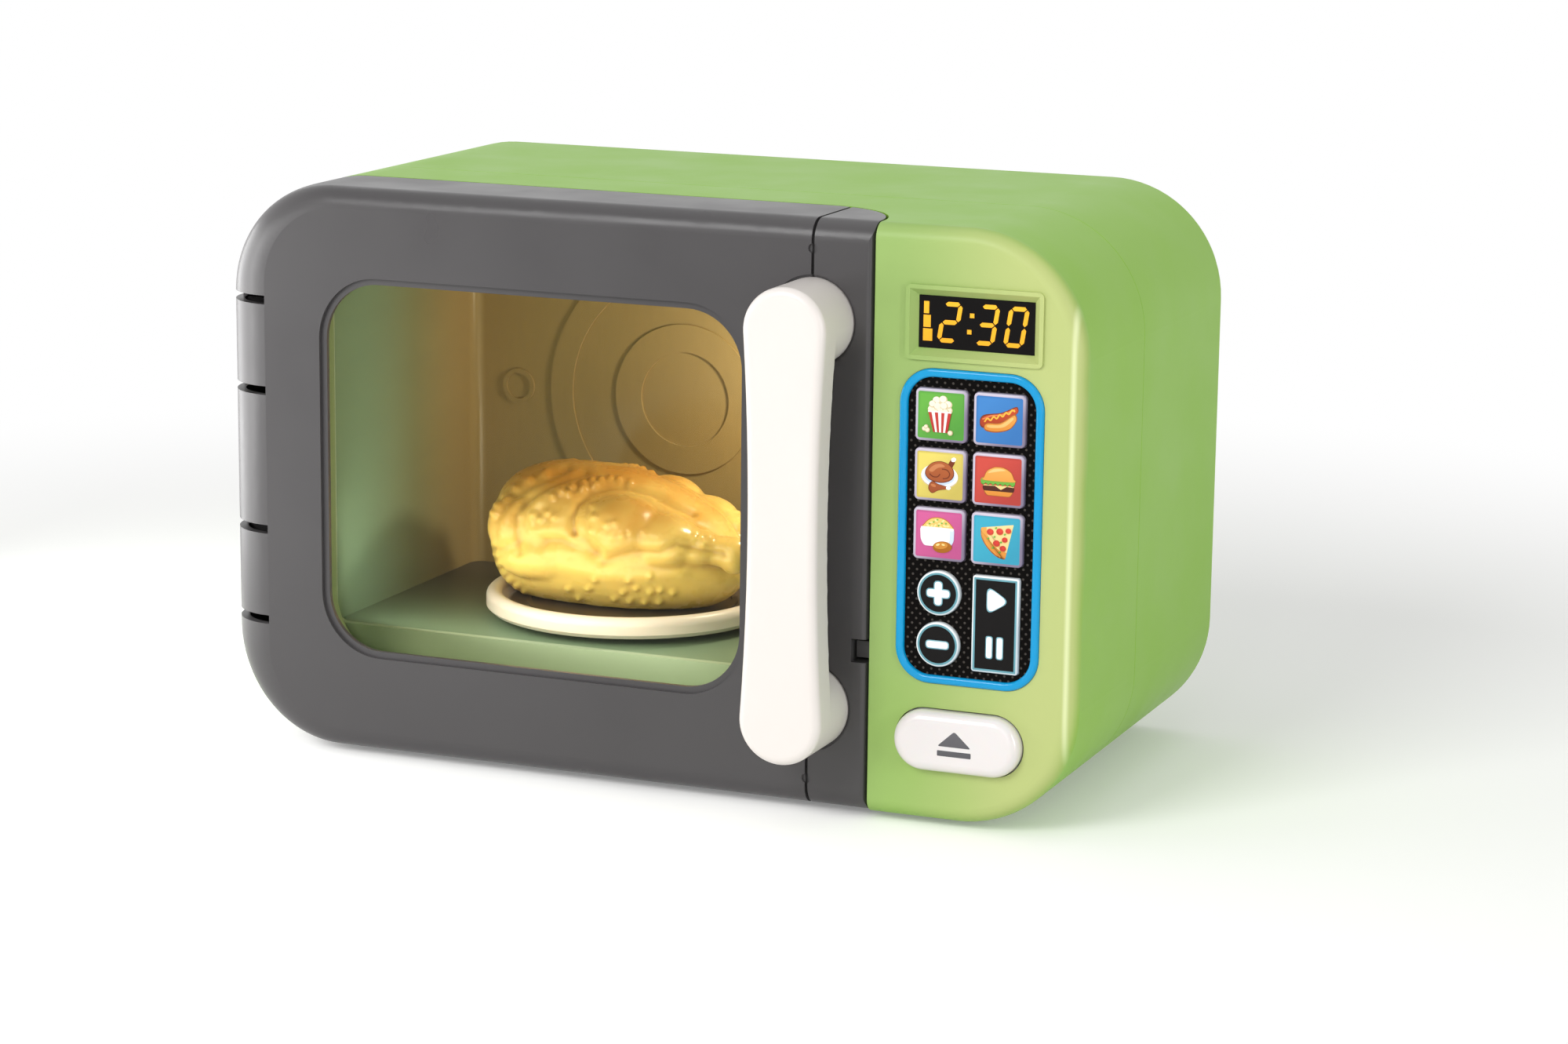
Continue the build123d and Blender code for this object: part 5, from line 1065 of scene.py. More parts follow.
def roast_on_plate() -> list[Film]:
    """Draws a roast bird on a white plate."""
    body = [
        (-4.1, 0.3), (-3.6, 2.0), (-2.0, 3.4), (0.2, 3.9), (2.3, 3.3), (3.7, 2.0), (3.9, 0.3),
        (2.8, -1.1), (0.2, -1.8), (-2.8, -1.2),
    ]
    back = [(-3.2, 1.4), (-1.6, 2.9), (0.4, 3.3), (1.4, 2.6), (-0.6, 2.1), (-2.2, 0.9)]
    thigh = [(0.6, 1.9), (2.1, 1.7), (2.9, 0.6), (2.3, -0.5), (0.9, -0.8)]
    wing = [(-3.0, 0.3), (-2.0, -0.4), (-0.7, -0.4), (0.1, 0.4)]
    leg = [
        (-2.9, -2.6), (-1.9, -1.9), (-0.4, -2.5), (2.0, -3.0), (2.1, -3.6), (-0.3, -4.1), (-2.0, -4.9),
        (-3.1, -4.0),
    ]
    return [
        (Ink.CREAM_SHADE, oval(-0.1, -0.35, 5.5, 3.5)),
        (Ink.BOWL, oval(-0.1, -0.1, 5.4, 3.35)),
        (Ink.BOWL_SHADE, oval(-0.1, -0.2, 4.5, 2.5)),
        (Ink.ROAST_EDGE, capsule((2.6, 2.2), (3.9, 4.6), 1.5)),
        (Ink.BOWL, oval(3.95, 4.75, 0.75, 0.6, 30.0, 16)),
        (Ink.ROAST_EDGE, spline(scaled(body, (0.0, 1.0), 1.06, 1.07, (0.0, -0.05)))),
        (Ink.ROAST, spline(body)),
        (Ink.ROAST_LIGHT, spline(back)),
        (Ink.ROAST_EDGE, ribbon(spline(thigh, closed=False), 0.32)),
        (Ink.ROAST_EDGE, ribbon(spline(wing, closed=False), 0.3)),
        (Ink.ROAST_EDGE, spline(scaled(leg, (0.0, -3.4), 1.04, 1.12))),
        (Ink.ROAST, spline(leg)),
        (Ink.ROAST_LIGHT, oval(-1.8, -2.9, 0.8, 0.4, -15.0, 14)),
        (Ink.BOWL, oval(2.6, -3.3, 0.7, 0.5, 0.0, 14)),
    ]


def burger() -> list[Film]:
    """Draws a burger with leaves, tomato and cheese."""
    teeth = 14
    wave = [(-4.9 + 9.8 * i / teeth, 0.62 if i % 2 else 0.25) for i in range(teeth + 1)]
    frill = [(4.9 - 9.8 * i / teeth, -1.25 if i % 2 else -0.75) for i in range(teeth + 1)]
    leaf = wave + frill
    dome = [
        (-4.1, -0.1), (-4.1, 0.8), (-3.2, 2.6), (-1.3, 3.7), (0.3, 3.9), (1.9, 3.7), (3.8, 2.6),
        (4.7, 0.8), (4.7, -0.1),
    ]
    gleam = [(-2.9, 2.0), (-1.4, 3.1), (0.6, 3.4), (2.2, 3.0), (0.6, 2.7), (-1.3, 2.3)]
    heel = [(-4.0, -2.5), (4.4, -2.5), (4.5, -3.3), (3.6, -4.4), (-3.2, -4.4), (-4.1, -3.3)]
    cheese = [(-4.3, -0.9), (4.7, -0.9), (4.6, -1.6), (2.6, -1.5), (0.9, -2.5), (-0.8, -1.5), (-4.2, -1.6)]
    return [
        (Ink.BUN_EDGE, softened(heel, 0.5)),
        (Ink.BUN, softened(scaled(heel, (0.0, 0.0), 0.95, 0.97, (0.02, 0.02)), 0.5)),
        (Ink.PATTY, softened([(-4.4, -1.2), (4.8, -1.2), (4.8, -3.0), (-4.4, -3.0)], 0.8)),
        (Ink.CHEESE, cheese),
        (Ink.TOMATO, softened([(-4.2, -0.5), (4.6, -0.5), (4.6, -1.35), (-4.2, -1.35)], 0.35)),
        (Ink.LETTUCE_DARK, spline(scaled(leaf, (0.0, 0.0), 1.0, 1.0, (0.0, -0.2)), steps=3)),
        (Ink.LETTUCE, spline(leaf, steps=3)),
        (Ink.BUN_EDGE, spline(dome, steps=5)),
        (Ink.BUN, spline(scaled(dome, (0.0, 0.1), 0.96, 0.95, (0.01, 0.02)), steps=5)),
        (Ink.BUN_LIGHT, spline(gleam)),
    ]


def rice_bowl() -> list[Film]:
    """Draws a bowl heaped with rice and a piece of fried food beside it."""
    heap = [(-4.5, 1.5), (-4.2, 3.0), (-2.6, 4.4), (-0.4, 4.9), (1.8, 4.5), (3.5, 3.2), (3.9, 1.5)]
    bowl = [(-5.4, 1.8), (4.6, 1.8), (4.5, -1.6), (3.5, -3.3), (-4.2, -3.3), (-5.2, -1.6)]
    lit = [(-5.4, 1.8), (3.4, 1.8), (3.3, -1.6), (2.6, -3.3), (-4.2, -3.3), (-5.2, -1.6)]
    grains = (
        (-3.2, 2.4), (-2.2, 3.3), (-1.1, 2.5), (-0.8, 3.9), (0.3, 3.1), (1.2, 3.9), (1.7, 2.6),
        (2.7, 2.6), (-2.1, 2.2), (0.6, 2.2),
    )
    herbs = ((-2.7, 2.9), (-1.5, 3.5), (0.0, 2.6), (0.9, 3.3), (2.1, 3.3), (-0.4, 4.2))
    spots = [(x, y, 0.55, 0.26, 40.0 * (index % 3) - 30.0) for index, (x, y) in enumerate(grains)]
    return [
        (Ink.NUGGET, spline(heap)),
        (Ink.RICE, spline(scaled(heap, (0.0, 1.6), 0.94, 0.93, (-0.02, 0.0)))),
        *specks(Ink.RICE_LIGHT, spots, 12),
        *specks(Ink.LETTUCE, [(*herb, 0.28, 0.24, 0.0) for herb in herbs], 10),
        (Ink.BOWL_SHADE, softened(bowl, 0.7)),
        (Ink.BOWL, softened(lit, 0.7)),
        (Ink.BOWL, capsule((-5.2, 1.7), (4.5, 1.7), 0.7)),
        (Ink.NUGGET, oval(1.2, -3.4, 2.8, 1.65, 6.0)),
        (Ink.NUGGET_LIGHT, oval(0.8, -3.0, 2.0, 0.95, 8.0)),
        *specks(Ink.RICE_LIGHT, [(-0.1, -2.8, 0.6, 0.3, 20.0), (1.5, -2.7, 0.5, 0.25, -10.0)], 12),
    ]


def pizza() -> list[Film]:
    """Draws a slice of pizza with rounds of sausage and herbs."""
    tip = (4.9, 4.7)
    rim = spline([(-4.6, 3.2), (-4.3, 0.6), (-2.5, -2.2), (0.2, -4.4), (2.6, -5.0)], closed=False, steps=7)
    wedge = [tip] + rim
    rounds = (
        (-1.9, 2.2, 1.0), (0.0, -0.9, 1.0), (0.9, 2.5, 1.0), (1.9, -2.2, 0.9), (2.4, 0.3, 0.8),
        (3.4, 2.9, 0.8),
    )
    herbs = ((-0.6, 0.9), (1.3, -0.5), (-2.4, 0.3), (2.4, 1.8), (-0.2, 3.4), (1.0, -3.3), (-1.0, -2.2))
    films = [
        (Ink.BUN_EDGE, softened(scaled(wedge, tip, 1.0, 1.0, (-0.1, -0.3)), 0.3, 3)),
        (Ink.BUN, softened(wedge, 0.3, 3)),
        (Ink.CHEESE, softened([tip] + scaled(rim, tip, 0.83, 0.83), 0.25, 3)),
    ]
    for x, y, size in rounds:
        films += [
            (Ink.NUGGET_LIGHT, oval(x, y - 0.1, size * 1.05, size * 0.95)),
            (Ink.RED, oval(x, y, size, size * 0.88)),
            (Ink.TOMATO, oval(x + size * 0.2, y + size * 0.18, size * 0.6, size * 0.5)),
        ]
    return films + specks(Ink.LETTUCE, [(*herb, 0.32, 0.26, 25.0) for herb in herbs], 10)


def signed(shapes: list[Outline], haloes: list[Outline]) -> list[Film]:
    """Prints a white sign over its teal halo."""
    return [(Ink.TEAL, outline) for outline in haloes] + [(Ink.WHITE, outline) for outline in shapes]


def plus_sign() -> list[Film]:
    """Draws the sign for more."""
    strokes = [bar(0.0, 0.0, 3.3, 1.05, 1.0), bar(0.0, 0.0, 1.05, 3.3, 1.0)]
    return signed(strokes, [bar(0.0, 0.0, 3.6, 1.35, 1.25), bar(0.0, 0.0, 1.35, 3.6, 1.25)])


def minus_sign() -> list[Film]:
    """Draws the sign for less."""
    return signed([bar(0.0, 0.0, 3.2, 0.95, 0.9)], [bar(0.0, 0.0, 3.5, 1.25, 1.15)])


def play_and_pause() -> list[Film]:
    """Draws the start triangle over the two pause bars."""
    groups = []
    for grown in (0.0, 0.25):
        left, rise = -2.3 - grown, 3.9 + grown * 1.5
        triangle = [(left, 7.0 + rise), (4.0 + grown * 1.6, 7.0), (left, 7.0 - rise)]
        bars = [bar(x, -6.4, 0.8 + grown, 3.0 + grown, 0.75) for x in (-1.55, 1.55)]
        groups.append([softened(triangle, 2.6), *bars])
    return signed(*groups)


def lift_and_open() -> list[Film]:
    """Draws the generic sign for opening: a triangle over a bar."""
    triangle = softened([(-5.0, -0.6), (5.0, -0.6), (0.0, 4.0)], 0.8)
    return [(Ink.GREY, triangle), (Ink.GREY, bar(0.0, -2.6, 5.0, 0.8, 0.3))]


@dataclass
class PaddedPicture:
    """A picture or sign that is pad-printed on a key: thin films of ink, each on the one before."""

    name: str
    body: str
    centre: Pair
    films: list[Film]
    slot: str = "control_black"
    face_depth: float = -1.0
    film: float = 0.012
    sunk: float = 0.05

    def build(self) -> bpy.types.Object:
        """Builds the films as closed prisms and hangs them on the key.

        Returns:
            The picture's object.
        """
        form = bmesh.new()
        inks = list(dict.fromkeys(ink for ink, _ in self.films))
        middle_x, middle_height = self.centre
        for index, (ink, outline) in enumerate(self.films):
            front, back = [
                [form.verts.new(at(middle_x + x, depth, middle_height + y)) for x, y in outline]
                for depth in (self.face_depth - self.film * (index + 1), self.face_depth + self.sunk)
            ]
            faces = [form.faces.new(front), form.faces.new(back[::-1])]
            for i in range(len(outline)):
                k = (i + 1) % len(outline)
                faces.append(form.faces.new((front[k], front[i], back[i], back[k])))
            for face in faces:
                face.material_index = inks.index(ink)
        bmesh.ops.recalc_face_normals(form, faces=form.faces)
        mesh = bpy.data.meshes.new(self.name)
        form.to_mesh(mesh)
        form.free()
        for ink in inks:
            mesh.materials.append(ink.finish().material())
        return link_piece(self.name, mesh, self.body)


Dressing = tuple[tuple[Finish, tuple[str, ...]], ...]


@dataclass
class SubAssembly:
    """A part of the toy that is put together on its own: the finish of each of its CAD nodes."""

    finishes: Dressing = ()

    def dress(self, frame: dict) -> None:
        """Gives the CAD nodes their finishes."""
        for finish, nodes in self.finishes:
            coat(frame, finish, *nodes)


@dataclass
class Housing(SubAssembly):
    """The green shell with its feet and screws."""

    finishes: Dressing = (
        (APPLE_GREEN, ("housing_front", "housing_rear")),
        (RUBBER, ("feet",)),
        (STEEL, ("housing_screws", "liner_screws", "panel_screws")),
    )


@dataclass
class Oven(SubAssembly):
    """The oven's liner, floor and lamp, and the turntable with its drive."""

    finishes: Dressing = (
        (OVEN_WALL, ("cavity_liner",)),
        (OVEN_FLOOR, ("cavity_floor_plate",)),
        (LAMP_LENS, ("lamp_lens",)),
        (LAMP_BODY, ("oven_lamp",)),
        (PLATE, ("turntable",)),
        (NYLON, ("drive_gear", "motor_pinion")),
        (MOTOR_CAN, ("turntable_motor",)),
        (BRACKET_GREY, ("drive_bracket",)),
    )


@dataclass
class Door(SubAssembly):
    """The charcoal door with its pane and white handle."""

    finishes: Dressing = (
        (CHARCOAL, ("door_bezel", "door_end_cap")),
        (INNER_GREEN, ("door_inner_panel",)),
        (PANE, ("window_pane",)),
        (WHITE, ("door_handle",)),
        (STEEL, ("handle_screws", "door_screws", "hinge_pins")),
    )


@dataclass(frozen=True)
class FoodKey:
    """One of the six food keys: its colour, its painted shade colour, its slot in the record and the
    picture on it.
    """

    food: str
    colour: str
    shade_colour: str
    slot: str
    picture: Callable[[], list[Film]]


@dataclass
class ControlPanel(SubAssembly):
    """Display, keypad and what lies behind them."""

    finishes: Dressing = (
        (DISPLAY, ("display_lens",)),
        (AMBER, ("display_digits",)),
        (BLUE_FRAME, ("keypad_frame",)),
        (DOT_PLATE, ("keypad_plate",)),
        (RUBBER, ("keypad_mat",)),
        (BOARD, ("circuit_board",)),
        (CHIPS, ("board_parts",)),
    )
    key_columns: Pair = (94.3, 111.3)
    key_rows: Triple = (116.4, 99.6, 82.9)
    # Each key's second colour is its painted shade, which darkens the face towards the lower right.
    food_keys: tuple[FoodKey, ...] = (
        FoodKey("popcorn", "#69b345", "#3f8a34", "key_green", popcorn),
        FoodKey("hotdog", "#4184c8", "#2b65a6", "key_blue", hot_dog),
        FoodKey("chicken", "#ead76b", "#ac9a48", "key_yellow", roast_on_plate),
        FoodKey("burger", "#cd4c40", "#9a302c", "key_red", burger),
        FoodKey("rice", "#d5609a", "#a8467b", "key_pink", rice_bowl),
        FoodKey("pizza", "#3cabc6", "#2c8cab", "key_cyan", pizza),
    )
    round_key: float = 6.35
    round_key_x: float = 94.5
    plus_height: float = 66.2
    minus_height: float = 51.5
    long_key_place: Pair = (111.325, 58.7)
    long_key_half: Pair = (6.825, 13.7)
    long_key_corner: float = 0.8
    ring: float = 0.5
    ring_line: float = 0.55
    control_gloss: float = 0.15

    def dress(self, frame: dict) -> None:
        """Dresses the display, the frame, the plate and the parts behind them, and prints the keys."""
        super().dress(frame)
        self.print_food_keys(frame)
        self.print_control_keys(frame)

    def print_food_keys(self, frame: dict) -> None:
        """Colours the six food keys and prints their pictures."""
        for index, key in enumerate(self.food_keys):
            name = "key_" + key.food
            place = (self.key_columns[index % 2], self.key_rows[index // 2])
            coat(frame, KeyCap("abs_printed_" + name, key.colour, key.shade_colour, *place), name)
            PaddedPicture("picture_" + key.food, name, place, key.picture(), key.slot).build()

    def print_control_keys(self, frame: dict) -> None:
        """Colours the three black keys with their white and teal rings, and prints their signs."""
        disc = (self.round_key, self.round_key, self.round_key)
        block = (*self.long_key_half, self.long_key_corner)
        keys = (
            ("plus", (self.round_key_x, self.plus_height), disc, plus_sign),
            ("minus", (self.round_key_x, self.minus_height), disc, minus_sign),
            ("play_pause", self.long_key_place, block, play_and_pause),
        )
        for sign, place, shape, picture in keys:
            name = "key_" + sign
            cap = KeyCap(
                "abs_printed_" + name, "#121010", "#0d0b0b", *place, *shape,
                rim=self.ring, rim_light="#f4f8fa", rim_shade="#cfd9df",
                line=self.ring_line, gloss=self.control_gloss,
            )
            coat(frame, cap, name)
            PaddedPicture("sign_" + sign, name, place, picture()).build()


@dataclass
class Opener(SubAssembly):
    """The open button and the latch that it draws back."""

    finishes: Dressing = (
        (BUTTON_WHITE, ("open_button",)),
        (STEEL, ("button_springs", "latch_spring")),
        (CHARCOAL, ("latch_slider",)),
        (BRACKET_GREY, ("button_bracket",)),
    )
    button_place: Pair = (101.15, 23.9)
    button_front: float = -4.0

    def dress(self, frame: dict) -> None:
        """Dresses the button, its springs, the latch and its bracket, and prints the button's sign."""
        super().dress(frame)
        sign = lift_and_open()
        picture = PaddedPicture(
            "sign_open", "opener", self.button_place, sign, "white_plastic", self.button_front
        )
        picture.build()


@dataclass
class PowerAndSound(SubAssembly):
    """Speaker, batteries, their cover and the switch."""

    finishes: Dressing = (
        (SPEAKER_BLACK, ("speaker_frame",)),
        (SPEAKER_PAPER, ("speaker_cone",)),
        (BRACKET_GREY, ("battery_box",)),
        (NICKEL, ("battery_contacts",)),
        (CELL_JACKET, ("batteries",)),
        (APPLE_GREEN, ("battery_cover",)),
        (STEEL, ("battery_cover_screw",)),
        (SWITCH_BLACK, ("power_switch", "switch_body")),
    )


@dataclass(frozen=True)
class Carving:
    """One kind of mark in the roast's skin: a line or a row of spots, cut in or raised."""

    height: float
    width: float
    places: tuple[Triple, ...]
    joined: bool = True


@dataclass
class RoastChicken:
    """The toy roast chicken on the plate, with the folds, wings and pimples of its skin."""

    # Soft vinyl, sprayed over its mould colour: wet-looking, with painted shade darkening the folds.
    skin: RoastSkin = RoastSkin(
        "vinyl_sprayed_roast", "#cc8e38", "#ecc874", "#e8ce72", "#a8762c", 36.0, 78.0
    )
    axis: float = 78.5
    belly: float = 35.95
    voxel: float = 0.75
    ring_points: int = 40
    section_steps: int = 5
    lump_segments: tuple[int, int] = (32, 18)
    smooth_share: float = 0.5
    smooth_rounds: int = 8
    ridge_width: float = 4.0
    edge_start: float = 0.05
    edge_width: float = 0.3
    # Slow ripples all over the skin: their height, their two rates, and how they start and lean.
    ripple: float = 0.12
    ripple_rates: Pair = (0.45, 0.6)
    ripple_start: float = 0.8
    ripple_lean: float = 0.3
    # The direction in which the marks are pressed into the near side.
    sight: Triple = (-0.4046, 0.8909, -0.2094)
    # For each cut through the body: x, half width, half height and the height of its middle.
    sections: tuple[tuple[float, float, float, float], ...] = (
        (-79.6, 3.0, 5.0, 54.0), (-78.6, 9.0, 11.5, 54.0), (-75.5, 15.5, 16.5, 54.2),
        (-70.0, 21.0, 19.8, 54.5), (-61.0, 25.0, 22.0, 54.8), (-50.0, 26.5, 22.7, 54.6),
        (-38.0, 26.8, 22.4, 54.0), (-28.0, 25.5, 21.0, 53.2), (-18.0, 22.5, 18.4, 52.0),
        (-8.0, 16.5, 14.5, 50.4), (-1.5, 10.0, 9.5, 49.0), (2.0, 4.0, 5.0, 48.5),
    )
    # Rounded lumps on each side: x, distance from the axis, height, and the half sizes.
    lumps: tuple[tuple[float, float, float, float, float, float], ...] = (
        (-30.5, 17.0, 60.5, 13.5, 11.2, 11.2), (-18.0, 15.5, 58.4, 12.5, 10.0, 8.4),
        (-8.0, 13.0, 56.8, 9.0, 7.2, 5.6), (0.0, 11.5, 56.0, 7.0, 5.4, 4.8),
        (4.0, 11.0, 54.8, 5.0, 5.4, 5.8), (-66.0, 17.5, 59.0, 9.0, 9.5, 9.5),
        (-57.0, 18.5, 50.5, 15.0, 9.6, 7.5),
    )
    carvings: tuple[Carving, ...] = (
        Carving(-0.75, 1.4, (
            (-54.0, 71.8, 76.2), (-58.2, 66.8, 73.6), (-63.2, 65.7, 71.4), (-70.3, 63.2, 65.5),
            (-74.3, 62.8, 58.8), (-70.5, 55.0, 55.2),
        )),
        Carving(-0.7, 1.3, (
            (-46.5, 68.3, 75.9), (-54.9, 62.8, 72.0), (-61.4, 60.6, 68.0), (-64.4, 58.2, 63.1),
            (-61.9, 53.5, 57.5), (-61.2, 52.8, 52.5),
        )),
        Carving(-1.3, 1.2, (
            (-43.3, 52.8, 60.4), (-44.1, 54.9, 65.0), (-43.6, 57.7, 68.9), (-41.1, 61.0, 71.8),
            (-36.4, 64.3, 73.2), (-31.0, 67.2, 73.3), (-23.7, 69.1, 71.4), (-17.1, 69.6, 68.4),
            (-11.3, 71.8, 65.7),
        )),
        Carving(-1.3, 1.8, (
            (-43.3, 52.8, 60.4), (-38.9, 52.5, 57.8), (-32.8, 52.4, 52.4), (-23.2, 54.0, 55.8),
            (-15.6, 56.0, 55.7), (-10.4, 58.0, 58.7), (-2.4, 61.0, 57.0), (2.3, 62.0, 56.2),
        )),
        Carving(-1.8, 2.2, (
            (-51.7, 51.8, 57.2), (-46.7, 51.8, 57.8), (-41.8, 52.0, 56.2), (-36.9, 52.2, 54.0),
        )),
        Carving(-0.35, 1.4, (
            (-42.9, 52.1, 52.1), (-32.9, 52.0, 51.3), (-23.2, 53.0, 51.4), (-15.7, 55.0, 51.6),
            (-9.8, 58.0, 52.1),
        )),
        Carving(0.7, 2.6, (
            (-46.0, 52.3, 49.5), (-33.0, 52.0, 48.6), (-20.0, 53.5, 49.0), (-10.0, 57.5, 49.8),
        )),
        Carving(0.7, 1.8, (
            (-49.9, 65.5, 73.0), (-57.0, 60.5, 69.3), (-60.0, 57.5, 64.5), (-57.5, 53.5, 59.5),
            (-50.0, 52.3, 60.6), (-44.5, 53.0, 59.8),
        )),
        Carving(1.1, 0.95, (
            (-51.1, 62.5, 70.4), (-48.0, 63.0, 71.9), (-45.2, 65.0, 73.4), (-42.8, 66.0, 74.3),
            (-40.0, 66.5, 74.6), (-37.5, 67.5, 75.1), (-34.8, 68.0, 74.9), (-31.0, 68.0, 74.3),
            (-53.6, 61.0, 69.0), (-48.9, 62.0, 70.2), (-44.6, 63.8, 72.0), (-41.3, 65.3, 73.1),
        ), joined=False),
        Carving(0.9, 1.0, (
            (-57.3, 55.0, 64.1), (-52.3, 54.5, 65.3), (-49.8, 54.0, 64.4), (-54.7, 54.0, 63.3),
            (-37.1, 54.0, 69.0), (-37.1, 52.6, 61.5), (-36.0, 52.6, 66.0), (-31.6, 52.6, 64.1),
            (-28.8, 52.8, 64.7), (-26.5, 52.8, 61.0), (-24.0, 53.2, 62.3), (-20.0, 54.2, 62.3),
            (-29.7, 52.6, 60.4), (-33.8, 52.6, 60.9), (-5.6, 60.0, 62.3), (-4.1, 60.0, 61.0),
            (-3.2, 60.5, 59.2), (-6.2, 60.0, 60.6), (-1.6, 61.0, 61.2),
        ), joined=False),
        Carving(0.9, 0.9, (
            (-45.4, 54.5, 42.5), (-38.5, 54.0, 43.4), (-42.7, 56.0, 39.4), (-25.0, 54.0, 47.3),
            (-18.6, 55.5, 49.0), (-27.2, 54.5, 43.1), (-22.9, 55.0, 44.7), (-19.0, 56.5, 43.5),
            (-16.1, 57.5, 44.2), (-25.5, 56.0, 40.2), (-21.0, 57.0, 40.1), (-16.9, 58.5, 40.2),
            (-36.0, 53.5, 46.5), (-30.5, 55.5, 40.5), (-12.5, 59.0, 43.5),
        ), joined=False),
        Carving(1.0, 1.2, (
            (-76.3, 66.0, 51.5), (-75.0, 65.0, 48.6), (-73.4, 64.0, 46.0), (-71.4, 63.0, 43.6),
            (-69.0, 62.0, 41.5), (-66.4, 61.0, 39.7), (-63.5, 60.0, 38.3), (-77.0, 68.0, 60.5),
            (-75.6, 67.0, 63.4), (-73.0, 67.0, 66.3), (-69.6, 68.0, 69.2), (-65.4, 69.0, 71.9),
            (-60.6, 70.5, 74.2),
        ), joined=False),
    )

    def dress(self, frame: dict) -> None:
        """Moulds the bird, sprays it and puts it on the plate in place of the plain CAD bird."""
        coat(frame, self.skin, "roast_chicken")
        mesh = self.remeshed(self.rough_form())
        self.carve(mesh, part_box("roast_chicken"))
        mesh.materials.clear()
        mesh.materials.append(self.skin.material())
        bird = link_piece("roast_bird", mesh, "chicken")
        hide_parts("roast_chicken")

    def rough_form(self) -> bpy.types.Mesh:
        """Builds the body and the lumps on both sides as closed shells that run into each other.

        Returns:
            The mesh, in metres.
        """
        form = bmesh.new()
        rings = []
        for x, *half, middle in spline(list(self.sections), closed=False, steps=self.section_steps):
            ring = oval(self.axis, middle, *half, steps=self.ring_points)
            rings.append([form.verts.new(at(x, depth, height)) for depth, height in ring])
        for low, high in zip(rings, rings[1:]):
            for i in range(self.ring_points):
                k = (i + 1) % self.ring_points
                form.faces.new((low[i], low[k], high[k], high[i]))
        form.faces.new(rings[0][::-1])
        form.faces.new(rings[-1])
        around, up = self.lump_segments
        for x, out, height, *half in self.lumps:
            for side in (-1, 1):
                place = Matrix.Translation(at(x, self.axis + side * out, height))
                lump = place @ Matrix.Diagonal((*half, 1.0)) @ Matrix.Diagonal((MM, MM, MM, 1.0))
                bmesh.ops.create_uvsphere(form, u_segments=around, v_segments=up, radius=1.0, matrix=lump)
        mesh = bpy.data.meshes.new("roast_form")
        form.to_mesh(mesh)
        form.free()
        return mesh

    def remeshed(self, rough: bpy.types.Mesh) -> bpy.types.Mesh:
        """Melts the shells into one even, smooth skin.

        Args:
            rough: The mesh of closed shells.

        Returns:
            A new mesh with small faces of even size.
        """
        shape = bpy.data.objects.new("roast_form", rough)
        bpy.context.scene.collection.objects.link(shape)
        skin = shape.modifiers.new("skin", "REMESH")
        skin.mode = "VOXEL"
        skin.voxel_size = self.voxel * MM
        skin.use_smooth_shade = True
        soften = shape.modifiers.new("soften", "SMOOTH")
        soften.factor = self.smooth_share
        soften.iterations = self.smooth_rounds
        melted = shape.evaluated_get(bpy.context.evaluated_depsgraph_get())
        mesh = bpy.data.meshes.new_from_object(melted)
        bpy.data.objects.remove(shape)
        bpy.data.meshes.remove(rough)
        mesh.name = "roast_bird"
        return mesh

    def carve(self, mesh: bpy.types.Mesh, limits: tuple[Vector, Vector]) -> None:
        """Cuts and raises the marks of the skin on both sides, and flattens the belly.

        Args:
            mesh: The smooth skin, changed in place.
            limits: The lowest and the highest corner that the bird keeps within.
        """
        count = len(mesh.vertices)
        points, normals = np.zeros(count * 3), np.zeros(count * 3)
        mesh.vertices.foreach_get("co", points)
        mesh.vertices.foreach_get("normal", normals)
        points, normals = points.reshape(-1, 3), normals.reshape(-1, 3)
        origin = np.array(at(0.0, self.axis, 0.0))
        near = (points - origin) / MM
        facing = normals.copy()
        far_side = near[:, 1] > 0
        near[far_side, 1] *= -1
        facing[far_side, 1] *= -1
        sight = Vector(self.sight).normalized()
        level = sight.cross(Vector((0.0, 0.0, 1.0))).normalized()
        upright = level.cross(sight)
        view = np.array((level, upright)).T
        flat = near @ view
        seen = np.clip((self.edge_start - facing @ np.array(sight)) / self.edge_width, 0.0, 1.0)
        ridge = np.clip(-near[:, 1] / self.ridge_width, 0.0, 1.0)
        wide, high = flat[:, 0], flat[:, 1]
        first, second = self.ripple_rates
        waves = np.sin(wide * first + self.ripple_start) * np.sin(high * second + self.ripple_lean * wide)
        relief = self.ripple * waves
        for mark in self.carvings:
            places = np.array([(x, depth - self.axis, height) for x, depth, height in mark.places]) @ view
            runs = zip(places, places[1:] if mark.joined else places)
            reach = np.full(count, np.inf)
            for start, end in runs:
                along = end - start
                share = np.clip((flat - start) @ along / max(along @ along, 1e-9), 0.0, 1.0)
                reach = np.minimum(reach, np.linalg.norm(flat - start - share[:, None] * along, axis=1))
            relief += mark.height * np.exp(-((reach / mark.width) ** 2))
        points += normals * (relief * seen * ridge)[:, None] * MM
        low, high = np.array(limits[0]), np.array(limits[1])
        low[2] = max(low[2], (self.belly + FOOT) * MM)
        points = np.clip(points, low, high)
        mesh.vertices.foreach_set("co", points.reshape(-1))
        mesh.update()


@dataclass(frozen=True)
class SoftBox:
    """One plain lamp with a flat, even face."""

    name: str
    place: Triple
    aim: Triple
    size: Pair
    watts: float
    colour: str = "#ffffff"

    def build(self) -> None:
        """Hangs the lamp at its place and points it at its aim."""
        lamp = bpy.data.lights.new(self.name, "AREA")
        lamp.shape = "RECTANGLE"
        lamp.size, lamp.size_y = self.size
        lamp.energy = self.watts
        lamp.color = linear(self.colour)[:3]
        stand = bpy.data.objects.new(self.name, lamp)
        stand.location = self.place
        ray = Vector(self.aim) - Vector(self.place)
        stand.rotation_euler = ray.to_track_quat("-Z", "Y").to_euler()
        bpy.context.scene.collection.objects.link(stand)


